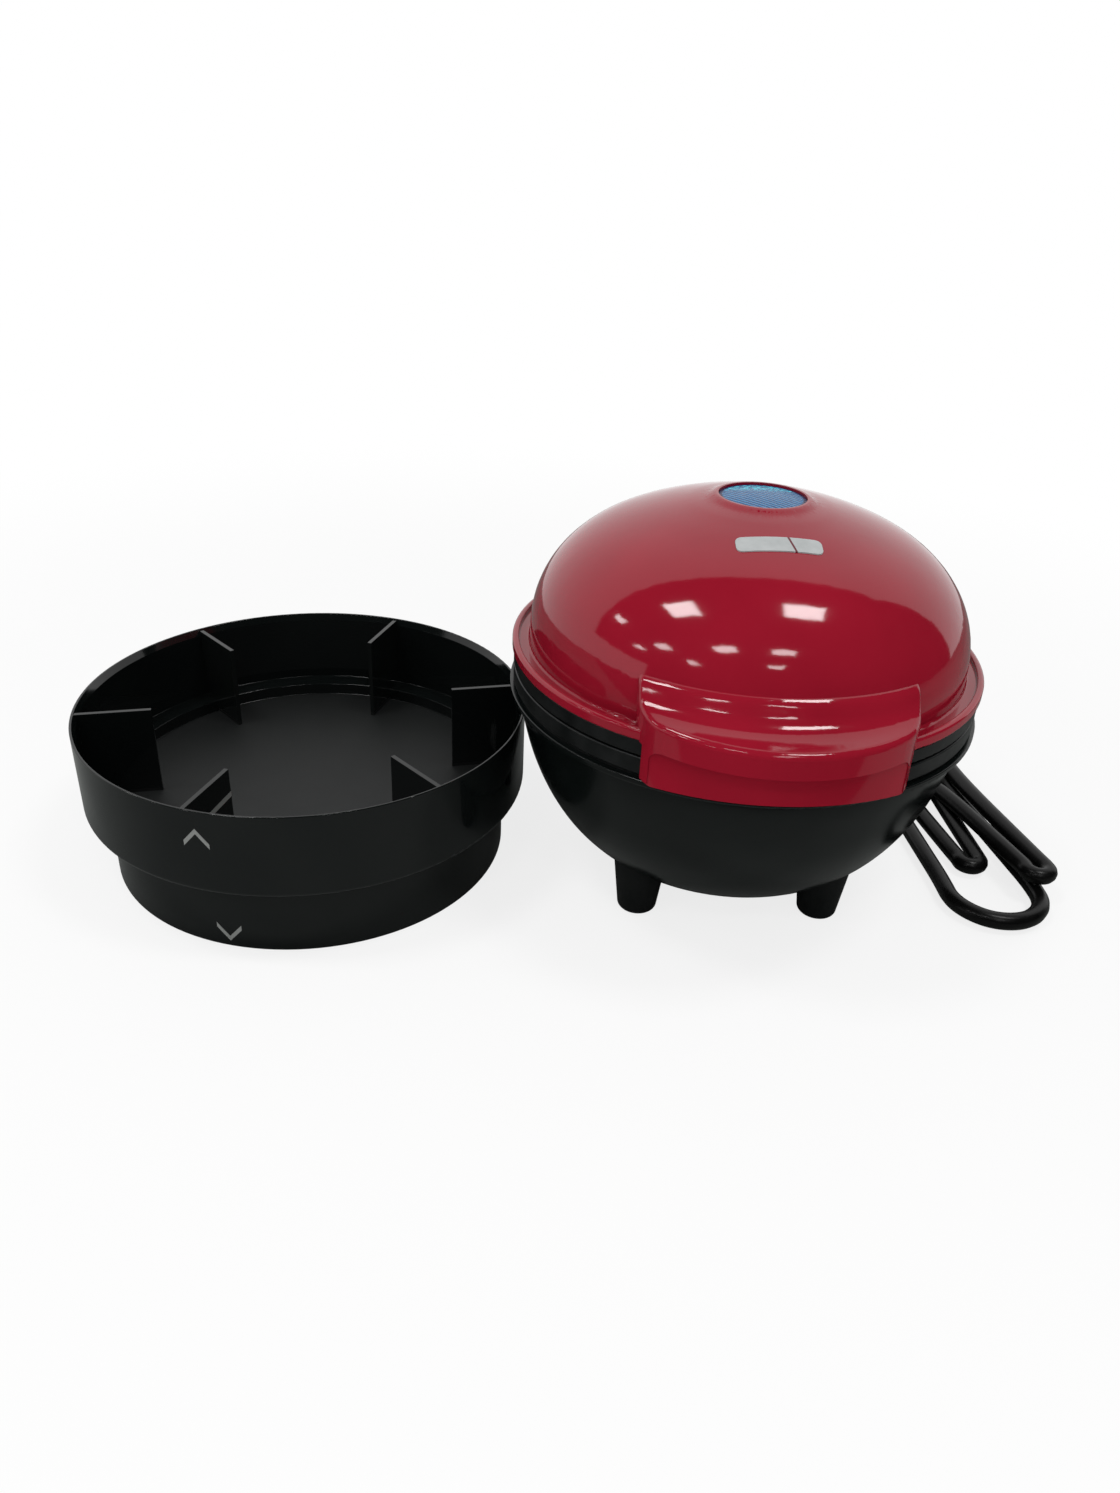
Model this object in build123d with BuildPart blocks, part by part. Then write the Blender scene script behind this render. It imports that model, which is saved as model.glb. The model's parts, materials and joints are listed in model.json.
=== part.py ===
from build123d import *
import math
import os

# Mini pie maker with its crust cutter, in millimetres, +Z up, handle towards -Y.
# The origin lies on the floor, at the middle of the outline of the two without the cord.

# Heights above the floor
lip_low = 69.0            # underside of the lid's lip
lip_thickness = 3.0
parting_gap = 0.5
lid_ring_height = 4.0
base_ring_height = 4.5
groove_height = 1.0
rim_height = 1.8
bowl_floor_low = 9.0      # flat underside of the bowl

# Cooking plates
well_radius = 50.8             # half of a 4 inch pie
well_floor_inset = 7.8
well_depth = 26.0
well_corner_round = 6.0
plate_wall = 2.2
plate_rim_width = 6.4          # from the well's edge to the rim's
plate_rim_thickness = 1.7
plate_seat_clearance = 0.2
crimp_place = 3.4              # outside the well's edge
crimp_half_width = 1.1
crimp_depth = 0.9
pie_top_inset = 1.3
pie_top_rise = 5.0
ledge_width = 2.4

# Rings round the plates
ring_wall = 5.6
ring_clearance = 0.2
ring_edge_round = 0.4
ring_skirt_height = 5.0
ring_skirt_inset = 1.6
groove_depth = 0.8

# Bowl
rim_overhang = 0.9             # beyond the rings
rim_step = 2.7                 # from the rim down to the bowl's side
bowl_floor_sink = 1.7          # the round form would run this far below the flat floor
bowl_end_power = 1.47
bowl_side_power = 3.9
bowl_floor_slope_share = 0.25
base_wall = 2.4
rim_round = 0.8

# Lid shell
lip_overhang = 0.5             # beyond the rings
lip_width = 4.7
lip_edge_width = 1.8
dome_height = 37.5
dome_straight = 4.2            # upright stretch above the lip's underside
dome_end_power = 2.22
dome_side_power = 2.4
dome_top_slope_share = 0.12
crown_inset = 23.8             # from the dome's side to where its crown starts
crown_end_slope_share = 0.19
crown_count = 4                # stretches in the crown's outline
lid_wall = 2.2
channel_depth = 1.2
lip_edge_round = 0.9
channel_round = 0.5
fine_round = 0.3
dome_foot_round = 0.8

# Collar round the lens, on top of the lid
lens_hole_radius = 11.4
collar_rise = 1.8              # above the top that the dome has without its crown
collar_crest_width = 0.6       # widths from the lens hole
collar_foot_width = 3.2
collar_top_slope_share = 0.1
lens_seat_drop = 4.1           # crest to the seat of the lens flange
holder_width = 2.5

# Handle at the front of the lid
handle_half_width = 33.0
handle_overhang = 7.9          # beyond the lip
handle_arc_sag = 15.1
handle_underside_rise = 0.6    # above the lip's underside
handle_drop = 9.6              # skirt below the lip's underside
handle_root_sink = 1.0         # into the dome, behind its wall
skirt_clearance = 0.5          # to the bowl's rim
skirt_wall = 1.4
post_width = 2.8
recess_round = 3.0
handle_blank_top = 18.0
tray_reach_shares = (0.765, 0.811, 0.826, 0.843, 0.866, 0.899, 0.941, 1.02)   # of the handle's reach
tray_rise_shares = (0.784, 0.773, 0.728, 0.628, 0.522, 0.45, 0.411, 0.375)   # of the blank's height
handle_edge_round = 1.6
handle_under_round = 0.8
handle_corner_round = 15.0

# Hinge at the back
knuckle_radius = 5.0
knuckle_rim_gap = 0.6          # to the bowl's rim
lid_knuckle_half_width = 12.0
ear_width = 8.0
hinge_side_gap = 0.3
pin_radius = 1.6
pin_running_clearance = 0.05
pin_end_sink = 0.3
arm_thickness = 6.0
ear_shoulder_drop = 1.2        # below the bowl's top
ear_foot_drop = 17.2
ear_foot_sink = 9.2            # inside the bowl's widest ring

# Heating, inside both halves
element_ring_radius = 33.0
element_tube_radius = 3.2
element_gap_degrees = 50.0
element_air = 0.7              # to the heat shield
rib_half_width = 4.6
rib_height = 3.3
terminal_radius = 1.4
terminal_length = 7.0
pin_hole_clearance = 0.6
shield_margin = 1.0            # beyond the well's floor
shield_lip = 4.0
sheet_thickness = 0.6
post_ring_radius = 16.0
post_radius = 3.2
thermostat_radius = 8.0
thermostat_height = 9.0
thermostat_clearance = 1.5
tab_length = 5.0
tab_width = 4.0
tab_thickness = 0.8
block_length = 16.0
block_depth = 10.0
block_height = 8.0
block_reach = 6.0
supply_spread = 1.6

# Routes of the inner leads, as shares of the room between their ends
element_lead_shares = ((1.0, 1.0, 0.375), (0.75, 0.73, 0.79), (0.38, 0.54, 1.0))
supply_lead_shares = ((0.947, 1.0), (0.923, 0.66), (0.851, 0.32), (0.673, 0.078), (0.436, 0.0))
lamp_lead_shares = ((1.0, 1.0, 0.32), (0.645, 0.597, 0.44), (0.215, 0.14, 0.4), (0.09, 0.0, 0.72))

# Screws
screw_radius = 1.5
screw_bore_radius = 1.7
screw_head_radius = 2.9
screw_head_height = 2.0
screw_slot_width = 0.75
screw_tip = 0.6                # past the sheet that it holds
boss_radius = 4.0
lid_boss_inset = 5.2           # from the heat shield's edge
lid_boss_count = 3
lid_screw_length = 12.0
plate_post_count = 3
plate_screw_length = 6.0
back_degrees = 90.0

# Feet
foot_count = 4
foot_first_degrees = 45.0
foot_inset = 7.5               # from the heat shield's edge
foot_bottom_radius = 5.4
foot_top_radius = 7.6
foot_round = 1.6
foot_bury = 0.8                # into the bowl at its outer side
foot_recess_height = 4.5
foot_recess_clearance = 0.2

# Indicator
lens_clearance = 0.1
lens_sink = 0.6
lens_crown = 0.5
lens_crown_middle_share = 0.75
lens_flange_thickness = 1.4
lens_flange_clearance = 0.3
lens_wall = 1.6
holder_depth = 8.0
holder_wall = 1.4
lamp_radius = 2.5
lamp_length = 6.0
lead_radius = 0.9
fuse_radius = 2.0
fuse_length = 11.0
fuse_lead_length = 4.0
clip_width = 6.0
clip_tab = 6.0

# Badge on the dome, left plain
badge_length = 20.8
badge_width = 5.2
badge_thickness = 0.3
badge_reach = 26.8
badge_corner = 1.6

# Strain relief at the back of the bowl
relief_height = 36.0
relief_seat_setback = 1.7      # inside the bowl's widest ring
relief_seat_margin = 0.8       # round the flange
relief_seat_depth = 10.0
relief_hole_radius = 4.6
relief_hole_clearance = 0.1
relief_flange_width = 2.2
relief_flange_thickness = 1.5
relief_root_width = 0.6
relief_tip_wall = 0.8
relief_length = 20.0
relief_inside = 9.0
relief_rings = 5
relief_ring_depth = 0.7

# Widths that follow from the pie and the clearances, from the middle outwards
well_floor_radius = well_radius - well_floor_inset
pie_top_radius = well_radius - pie_top_inset
crimp_radius = well_radius + crimp_place
plate_rim_radius = well_radius + plate_rim_width
ledge_radius = plate_rim_radius - ledge_width
stack_radius = plate_rim_radius + plate_seat_clearance + ring_wall
groove_radius = stack_radius - groove_depth
rim_radius = stack_radius + rim_overhang
bowl_radius = rim_radius - rim_step
lip_radius = stack_radius + lip_overhang
dome_radius = lip_radius - lip_width
crown_radius = dome_radius - crown_inset
channel_outer_radius = lip_radius - lip_edge_width
collar_crest_radius = lens_hole_radius + collar_crest_width
collar_foot_radius = lens_hole_radius + collar_foot_width
holder_radius = lens_hole_radius + holder_width
lens_flange_radius = holder_radius - lens_flange_clearance
handle_reach = lip_radius + handle_overhang
handle_root_radius = dome_radius - lid_wall - handle_root_sink
skirt_inner_radius = rim_radius + skirt_clearance
skirt_outer_radius = skirt_inner_radius + skirt_wall
recess_half_width = handle_half_width - post_width
hinge_reach = rim_radius + knuckle_rim_gap + knuckle_radius
ear_foot_reach = bowl_radius - ear_foot_sink
shield_radius = well_floor_radius + shield_margin
lid_boss_ring_radius = shield_radius - lid_boss_inset
foot_ring_radius = shield_radius - foot_inset
relief_seat_reach = bowl_radius - relief_seat_setback
relief_end = relief_seat_reach + relief_length
relief_flange_radius = relief_hole_radius + relief_flange_width
relief_seat_radius = relief_flange_radius + relief_seat_margin
relief_root_radius = relief_hole_radius + relief_root_width

# Cord from the strain relief to the hank, and from the hank to the plug, from the maker's axis
cord_radius = 2.5
relief_tip_radius = cord_radius + relief_tip_wall
cord_points = [
    (0.0, relief_end, relief_height),
    (0.0, 92.5, 36.0), (3.0, 105.0, 32.4), (11.0, 115.5, 26.0), (24.0, 121.5, 19.5),
    (38.0, 121.0, 14.0), (51.0, 115.5, 10.6), (61.5, 106.5, 9.2), (67.5, 96.0, 8.8), (70.5, 84.0, 8.8),
]
tail_points = [
    (95.0, 88.0, 3.2), (96.0, 100.0, 3.2), (93.5, 113.0, 3.0), (85.5, 124.5, 3.0),
    (73.0, 132.5, 3.4), (59.0, 137.0, 5.2), (46.0, 138.0, 7.0), (34.0, 138.0, 7.0),
]

# Hank: strands side by side through the tie, opening into lobes at the front and the back
strand_pitch = 5.65
strand_count = 5
lay_height = 3.2               # centre of a strand on the floor, held off it by the tie
top_height = 8.8               # centre of a strand of the upper layer
waist_middle = 73.0
tie_place = 52.0
waist_half_length = 8.0
climb_start = (74.6, 27.0)
climb_degrees = 100.0
front_big = (79.8, 14.6, -35.0)      # middle, half width and tip of each lobe
front_short = (77.4, 3.4, -6.0)
front_top = (95.4, 4.4, -12.0)
back_inner = (70.2, 5.2, 86.0)
back_outer = (70.5, 13.2, 103.0)
lobe_lean_degrees = 5.0        # how far a lobe's sides lean
top_lean_degrees = 12.0
shoulder_share = 1.25          # a lobe's shoulder to its tip, as a share of its half width
tie_width = 5.0
tie_thickness = 0.5
tie_clearance = 0.3

# Plug with two flat blades
plug_length = 30.0
plug_width = 22.0
plug_height = 14.0
plug_round = 3.0
plug_front_round = 0.6
plug_back_round = 1.5
plug_neck_length = 9.0
plug_neck_root_radius = 4.4
plug_neck_tip_radius = 3.2
blade_length = 17.0
blade_width = 6.3
blade_thickness = 1.5
blade_spacing = 12.7
blade_buried = 3.0
blade_tip_chamfer = 1.5
blade_hole_radius = 1.6
blade_hole_reach = 11.0

# Crust cutter
cutter_radius = 63.5           # 5 inch bottom crust
cutter_step_width = 6.3        # in to the 4.5 inch top crust
cutter_step_height = 21.3
cutter_wide_height = 24.5
cutter_wall = 1.5
cutter_edge = 0.6
cutter_edge_height = 2.0
cutter_web_drop = 4.0          # below the step
cutter_web_thickness = 1.8
cutter_step_round = 1.8
cutter_fine_round = 0.2
fin_count = 6
fin_thickness = 1.2
fin_reach = 21.0               # in from the cutter's outside
fin_drop = 0.4
fin_first_degrees = 13.0
cutter_gap = 0.4               # to the bowl, at the cutter's rim
cutter_back = 6.7              # behind the maker's axis

cutter_small_radius = cutter_radius - cutter_step_width
cutter_height = cutter_step_height + cutter_wide_height
cutter_web_height = cutter_step_height - cutter_web_drop
fin_inner_radius = cutter_radius - fin_reach

# Working values
cut_over = 2.0                 # how far a cut runs past the face it opens
outline_count = 9              # stretches in a round outline
arc_run_share = 0.45           # of a run, taken by the arc at its end
straight_share = 1e-6          # two ways nearer than this are one
near_turns = 1.5               # turns of cord about its own edge that count as the same place


def bulge(radius, depth, end_power, side_power, height):
    """Radius of a full round shell at a height above its widest ring."""
    return radius * (1 - (height / depth) ** end_power) ** (1 / side_power)


def bulge_height(radius, depth, end_power, side_power, at_radius):
    """Height above the widest ring at which the shell has a given radius."""
    return depth * (1 - (at_radius / radius) ** side_power) ** (1 / end_power)


# Levels that follow from the stack
lid_ring_low = lip_low - lid_ring_height
base_ring_top = lid_ring_low - parting_gap
groove_top = base_ring_top - base_ring_height
rim_top = groove_top - groove_height
bowl_top = rim_top - rim_height
dome_low = lip_low + dome_straight
lip_top = lip_low + lip_thickness
channel_floor = lip_top - channel_depth
crest_height = dome_low + dome_height + collar_rise
lens_seat_height = crest_height - lens_seat_drop
hinge_height = lip_low
ear_shoulder_height = bowl_top - ear_shoulder_drop
ear_foot_height = bowl_top - ear_foot_drop
inner_dome_radius = dome_radius - lid_wall
inner_dome_height = dome_height - lid_wall
bowl_depth = bowl_top - bowl_floor_low + bowl_floor_sink
inner_bowl_radius = bowl_radius - base_wall
inner_bowl_depth = bowl_depth - base_wall

# Places of the maker and the cutter about the shared origin
if cutter_height < bowl_top:
    cutter_drop = bowl_top - cutter_height
    maker_at_cutter = bulge(bowl_radius, bowl_depth, bowl_end_power, bowl_side_power, cutter_drop)
else:
    maker_at_cutter = rim_radius
cutter_distance = maker_at_cutter + cutter_radius + cutter_gap
cutter_aside = math.sqrt(cutter_distance ** 2 - cutter_back ** 2)
maker_x = (cutter_aside + cutter_radius + lip_radius) / 2 - lip_radius
cutter_x = maker_x - cutter_aside
maker_y = (handle_reach - relief_end) / 2
cutter_y = maker_y + cutter_back

MAKER = Plane(origin=(maker_x, maker_y, 0))
SECTION = Plane(origin=(maker_x, maker_y, 0), x_dir=(1, 0, 0), z_dir=(0, -1, 0))
SIDE = Plane(origin=(maker_x, maker_y, 0), x_dir=(0, 1, 0), z_dir=(1, 0, 0))
AXIS = Axis((maker_x, maker_y, 0), (0, 0, 1))
CUTTER = Plane(origin=(cutter_x, cutter_y, 0))
CUTTER_SECTION = Plane(origin=(cutter_x, cutter_y, 0), x_dir=(1, 0, 0), z_dir=(0, -1, 0))
CUTTER_AXIS = Axis((cutter_x, cutter_y, 0), (0, 0, 1))

# Levels of the plates, heaters and heat shields
upper_plate_top = lid_ring_low + pie_top_rise + plate_wall
upper_rib_top = upper_plate_top + rib_height
upper_shield_height = upper_rib_top + element_tube_radius + element_air
plate_top = base_ring_top - plate_seat_clearance
plate_seat = plate_top - plate_rim_thickness
well_floor = plate_top - well_depth
well_under = well_floor - plate_wall
lower_rib_low = well_under - rib_height
lower_shield_top = lower_rib_low - element_tube_radius - element_air
lower_shield_height = lower_shield_top - sheet_thickness


def turned(points, section=SECTION, axis=AXIS):
    """A solid turned about an upright axis from a closed outline of radius and height."""
    with BuildPart() as body:
        with BuildSketch(section):
            with BuildLine():
                Polyline(*points, close=True)
            make_face()
        revolve(axis=axis)
    return body.part


def dome_points(radius, depth, low, top_radius):
    """Points up a dome's outline, from its widest ring to the given radius."""
    last = bulge_height(radius, depth, dome_end_power, dome_side_power, top_radius)
    turn = math.asin(last / depth)
    points = []
    for i in range(outline_count + 1):
        height = depth * math.sin(turn * i / outline_count)
        points.append((bulge(radius, depth, dome_end_power, dome_side_power, height), low + height))
    return points


def crowned_points(radius, depth, low, top_radius):
    """Points up a dome's outline whose top rises on, ever more gently, instead of turning flat."""
    crown_low = bulge_height(radius, depth, dome_end_power, dome_side_power, crown_radius)
    across = crown_radius / radius
    slope = (
        depth * dome_side_power / (dome_end_power * radius) * across ** (dome_side_power - 1)
        * (1 - across ** dome_side_power) ** (1 / dome_end_power - 1)
    )
    points = dome_points(radius, depth, low, crown_radius)
    span = crown_radius - top_radius
    for i in range(1, crown_count + 1):
        inward = span * i / crown_count
        height = crown_low + slope * inward - (slope - crown_end_slope_share) * inward ** 2 / (2 * span)
        points.append((crown_radius - inward, low + height))
    return points


def dome_solid(points, top_slope=dome_top_slope_share):
    """The full solid under a dome's outline, down to the lip's underside."""
    with BuildPart() as body:
        with BuildSketch(SECTION):
            with BuildLine():
                Polyline((0, points[-1][1]), (0, lip_low), (points[0][0], lip_low), points[0])
                Spline(*points, tangents=[(0, 1), (-1, top_slope)])
                Line(points[-1], (0, points[-1][1]))
            make_face()
        revolve(axis=AXIS)
    return body.part


def bowl_points(radius, depth, floor_low):
    """Points down a bowl's outline, from its widest ring to its flat floor."""
    points = []
    for i in range(outline_count + 1):
        height = (bowl_top - floor_low) * math.sin(math.pi / 2 * i / outline_count)
        points.append((bulge(radius, depth, bowl_end_power, bowl_side_power, height), bowl_top - height))
    return points


def posts(plane, count, ring_radius, radius, low, high, first=back_degrees):
    """Upright round posts evenly spaced on a circle."""
    with BuildPart() as group:
        with BuildSketch(plane.offset(low)):
            with PolarLocations(ring_radius, count, start_angle=first):
                Circle(radius)
        extrude(amount=high - low)
    return group.part


def screws(plane, count, ring_radius, head_low, length, head_up, first=back_degrees):
    """Pan-head screws, each a shank and a slightly rounded head, with a cross slot in the head."""
    shank_low = head_low + screw_head_height if head_up < 0 else head_low - length
    slot_depth = screw_head_height / 2
    slot_low = head_low if head_up < 0 else head_low + screw_head_height - slot_depth
    with BuildPart() as group:
        with BuildSketch(plane.offset(head_low)):
            with PolarLocations(ring_radius, count, start_angle=first):
                Circle(screw_head_radius)
        extrude(amount=screw_head_height)
        with BuildSketch(plane.offset(shank_low)):
            with PolarLocations(ring_radius, count, start_angle=first):
                Circle(screw_radius)
        extrude(amount=length)
        with BuildSketch(plane.offset(slot_low)):
            with PolarLocations(ring_radius, count, start_angle=first):
                Rectangle(screw_head_radius, screw_slot_width)
                Rectangle(screw_slot_width, screw_head_radius)
        extrude(amount=slot_depth, mode=Mode.SUBTRACT)
    return group.part


def tube(points, radius, plane=MAKER):
    """A round tube along straight runs joined by arcs as large as the runs allow."""
    places = [plane.from_local_coords(Vector(*point)) for point in points]
    radii = []
    for before, corner, after in zip(places, places[1:], places[2:]):
        run_in = corner - before
        run_out = after - corner
        half_turn = math.radians(run_in.get_angle(run_out)) / 2
        radii.append(arc_run_share * min(run_in.length, run_out.length) / math.tan(half_turn))
    with BuildPart() as body:
        with BuildLine() as path:
            FilletPolyline(*places, radius=radii)
        route = path.wire()
        with BuildSketch(Plane(origin=route @ 0, z_dir=route % 0)):
            Circle(radius)
        sweep(path=route)
    return body.part, route.length, radii


# Handle form, joined to the lid shell below
handle_arc_radius = (handle_half_width ** 2 + handle_arc_sag ** 2) / (2 * handle_arc_sag)


def above_tray():
    """The space above the tray, a scoop turned about the maker's axis."""
    slope = [
        (handle_reach * reach_share, lip_low + handle_blank_top * rise_share)
        for reach_share, rise_share in zip(tray_reach_shares, tray_rise_shares)
    ]
    roof = lip_low + handle_blank_top + cut_over
    with BuildPart() as space:
        with BuildSketch(SECTION):
            with BuildLine():
                Spline(*slope)
                Polyline(slope[-1], (slope[-1][0], roof), (0, roof), (0, slope[0][1]), slope[0])
            make_face()
        revolve(axis=AXIS)
    return space.part


handle_low = lip_low - handle_drop
handle_underside = lip_low + handle_underside_rise

with BuildPart() as recess_cut:
    with BuildSketch(Plane(origin=(maker_x, maker_y, handle_low), x_dir=(1, 0, 0), z_dir=(0, -1, 0))):
        RectangleRounded(2 * recess_half_width, 2 * (handle_underside - handle_low), recess_round)
    extrude(amount=handle_reach + cut_over)
    with BuildSketch(MAKER.offset(handle_low - handle_reach)):
        Circle(skirt_outer_radius)
    extrude(amount=2 * handle_reach, mode=Mode.SUBTRACT)

with BuildPart() as handle_form:
    with BuildSketch(MAKER.offset(handle_low)):
        with Locations((0, handle_arc_radius - handle_reach)):
            Circle(handle_arc_radius)
        with Locations((0, -handle_reach / 2)):
            Rectangle(2 * handle_half_width, handle_reach + cut_over, mode=Mode.INTERSECT)
        Circle(handle_root_radius, mode=Mode.SUBTRACT)
        with Locations((0, handle_reach / 2)):
            Rectangle(2 * handle_reach, handle_reach, mode=Mode.SUBTRACT)
    extrude(amount=lip_low + handle_blank_top - handle_low)
    fillet(handle_form.edges().filter_by(Axis.Z).sort_by(Axis.Y)[:2], handle_corner_round)
    add(above_tray(), mode=Mode.SUBTRACT)
    rim_edges = handle_form.edges().filter_by_position(Axis.Z, lip_top + handle_edge_round, crest_height)
    fillet(rim_edges, handle_edge_round)
    fillet(handle_form.edges().group_by(Axis.Z)[0].sort_by(Axis.Y)[0], handle_under_round)
    add(recess_cut.part, mode=Mode.SUBTRACT)

# Lid shell: dome, lip with its channel, collar for the lens, handle and hinge arm in one moulding
dome_outer = crowned_points(dome_radius, dome_height, dome_low, collar_foot_radius)
dome_inner = dome_points(inner_dome_radius, inner_dome_height, dome_low, holder_radius)
boss_low = upper_shield_height + sheet_thickness
boss_root = dome_points(
    inner_dome_radius + lid_wall / 2, inner_dome_height + lid_wall / 2, dome_low, holder_radius
)

with BuildPart() as lid_bosses:
    add(posts(MAKER, lid_boss_count, lid_boss_ring_radius, boss_radius, boss_low, crest_height))
    add(dome_solid(boss_root), mode=Mode.INTERSECT)
    boss_bore_high = upper_shield_height + lid_screw_length
    boss_bore_low = boss_low - cut_over
    add(
        posts(MAKER, lid_boss_count, lid_boss_ring_radius, screw_radius, boss_bore_low, boss_bore_high),
        mode=Mode.SUBTRACT,
    )

with BuildPart() as lid_shell:
    with BuildSketch(SECTION):
        with BuildLine():
            FilletPolyline(
                dome_inner[0],
                (inner_dome_radius, lip_low),
                (lip_radius, lip_low),
                (lip_radius, lip_top),
                (channel_outer_radius, lip_top),
                (channel_outer_radius, channel_floor),
                radius=[fine_round, channel_round, lip_edge_round, channel_round],
            )
            FilletPolyline(
                (channel_outer_radius, channel_floor),
                (dome_radius, channel_floor),
                dome_outer[0],
                radius=dome_foot_round,
            )
            Spline(*dome_outer, tangents=[(0, 1), (-1, crown_end_slope_share)])
            Spline(
                dome_outer[-1],
                ((collar_foot_radius + collar_crest_radius) / 2, (dome_outer[-1][1] + crest_height) / 2),
                (collar_crest_radius, crest_height),
                tangents=[(-1, crown_end_slope_share), (-1, collar_top_slope_share)],
            )
            Polyline(
                (collar_crest_radius, crest_height),
                (lens_hole_radius, crest_height),
                (lens_hole_radius, lens_seat_height),
                (holder_radius, lens_seat_height),
                dome_inner[-1],
            )
            Spline(*dome_inner, tangents=[(0, 1), (-1, dome_top_slope_share)])
        make_face()
    revolve(axis=AXIS)
    add(handle_form.part)
    with BuildSketch(SIDE):
        with Locations((hinge_reach, hinge_height)):
            Circle(knuckle_radius)
        with Locations((hinge_reach - knuckle_radius, hinge_height)):
            Rectangle(2 * knuckle_radius, arm_thickness)
    extrude(amount=lid_knuckle_half_width, both=True)
    with BuildSketch(SIDE):
        with Locations((hinge_reach, hinge_height)):
            Circle(pin_radius + pin_running_clearance)
    extrude(amount=lid_knuckle_half_width + cut_over, both=True, mode=Mode.SUBTRACT)
    # the stack of rings turns free inside the skirt and the hinge arm
    add(
        turned([
            (0, handle_low - cut_over), (skirt_inner_radius, handle_low - cut_over),
            (skirt_inner_radius, lip_low), (0, lip_low),
        ]),
        mode=Mode.SUBTRACT,
    )
    add(dome_solid(dome_inner), mode=Mode.SUBTRACT)
    add(lid_bosses.part)
lid_shell.part.label = "lid_shell"


# Indicator: lens, holder and lamp in the collar
lens_top = crest_height - lens_sink
lens_radius = lens_hole_radius - lens_clearance
flange_low = lens_seat_height - lens_flange_thickness

with BuildPart() as indicator_lens:
    with BuildSketch(SECTION):
        with BuildLine():
            Polyline(
                (0, lens_top + lens_crown - lens_wall),
                (0, lens_top + lens_crown),
            )
            ThreePointArc(
                (0, lens_top + lens_crown),
                (lens_radius / 2, lens_top + lens_crown * lens_crown_middle_share),
                (lens_radius, lens_top),
            )
            Polyline(
                (lens_radius, lens_top),
                (lens_radius, lens_seat_height),
                (lens_flange_radius, lens_seat_height),
                (lens_flange_radius, flange_low),
                (lens_radius - lens_wall, flange_low),
                (lens_radius - lens_wall, lens_top - lens_wall),
                (0, lens_top + lens_crown - lens_wall),
            )
        make_face()
    revolve(axis=AXIS)
indicator_lens.part.label = "indicator_lens"

holder_low = flange_low - holder_depth

with BuildPart() as lamp_holder:
    add(turned([
        (lamp_radius, holder_low), (lens_flange_radius, holder_low), (lens_flange_radius, flange_low),
        (lens_flange_radius - holder_wall, flange_low),
        (lens_flange_radius - holder_wall, holder_low + holder_wall),
        (lamp_radius, holder_low + holder_wall),
    ]))
lamp_holder.part.label = "lamp_holder"

with BuildPart() as indicator_lamp:
    with BuildSketch(MAKER.offset(holder_low)):
        Circle(lamp_radius)
    extrude(amount=lamp_length)
    fillet(indicator_lamp.faces().sort_by(Axis.Z)[-1].edges(), lamp_radius / 2)
    with BuildSketch(MAKER.offset(holder_low - holder_wall)):
        with GridLocations(lamp_radius, lamp_radius, 2, 1):
            Circle(lead_radius / 2)
    extrude(amount=holder_wall)
indicator_lamp.part.label = "indicator_lamp"

# Badge: a thin plain plate that follows the front of the dome
badge_low = dome_solid(dome_outer, crown_end_slope_share)
badge_top = crowned_points(
    dome_radius + badge_thickness, dome_height + badge_thickness, dome_low, collar_foot_radius
)
badge_high = dome_solid(badge_top, crown_end_slope_share)

with BuildPart() as badge:
    with BuildSketch(MAKER.offset(dome_low)):
        with Locations((0, -badge_reach)):
            RectangleRounded(badge_length, badge_width, badge_corner)
    extrude(amount=dome_height + cut_over)
    add(badge_high, mode=Mode.INTERSECT)
    add(badge_low, mode=Mode.SUBTRACT)
badge.part.label = "badge"

# Lid ring under the lip, with a ledge for the upper plate
with BuildPart() as lid_ring:
    add(turned([
        (plate_rim_radius + plate_seat_clearance, lid_ring_low),
        (stack_radius, lid_ring_low),
        (stack_radius, lip_low),
        (inner_dome_radius - ring_clearance, lip_low),
        (inner_dome_radius - ring_clearance, lip_top),
        (ledge_radius, lip_top),
        (ledge_radius, lid_ring_low + plate_rim_thickness),
        (plate_rim_radius + plate_seat_clearance, lid_ring_low + plate_rim_thickness),
    ]))
    fillet(lid_ring.edges().filter_by(GeomType.CIRCLE).group_by(SortBy.RADIUS)[-1], ring_edge_round)
lid_ring.part.label = "lid_ring"


# A heater's ends, and the pins that stand just in front of them
element_half_gap = math.radians(element_gap_degrees / 2)
pin_x = element_ring_radius * math.sin(element_half_gap)
element_end_y = element_ring_radius * math.cos(element_half_gap)
pin_y = element_end_y - terminal_radius


def heater_tube(height):
    """A tube bent to a horseshoe, open towards the back."""
    with BuildPart() as body:
        with BuildLine(MAKER.offset(height)) as path:
            ThreePointArc((pin_x, element_end_y), (0, -element_ring_radius), (-pin_x, element_end_y))
        with BuildSketch(Plane(origin=path.line @ 0, z_dir=path.line % 0)):
            Circle(element_tube_radius)
        sweep(path=path.line)
    return body.part


def element(height, pin_direction):
    """A tubular heater with a thinner terminal pin that rises or falls from each end."""
    with BuildPart() as body:
        add(heater_tube(height))
        with BuildSketch(MAKER.offset(height)):
            with Locations((pin_x, pin_y), (-pin_x, pin_y)):
                Circle(terminal_radius)
        extrude(amount=pin_direction * (element_tube_radius + terminal_length))
    return body.part


# Upper plate, its heater, shield and screws
rim_low = lid_ring_low + plate_seat_clearance
rim_high = lid_ring_low + plate_rim_thickness

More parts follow.
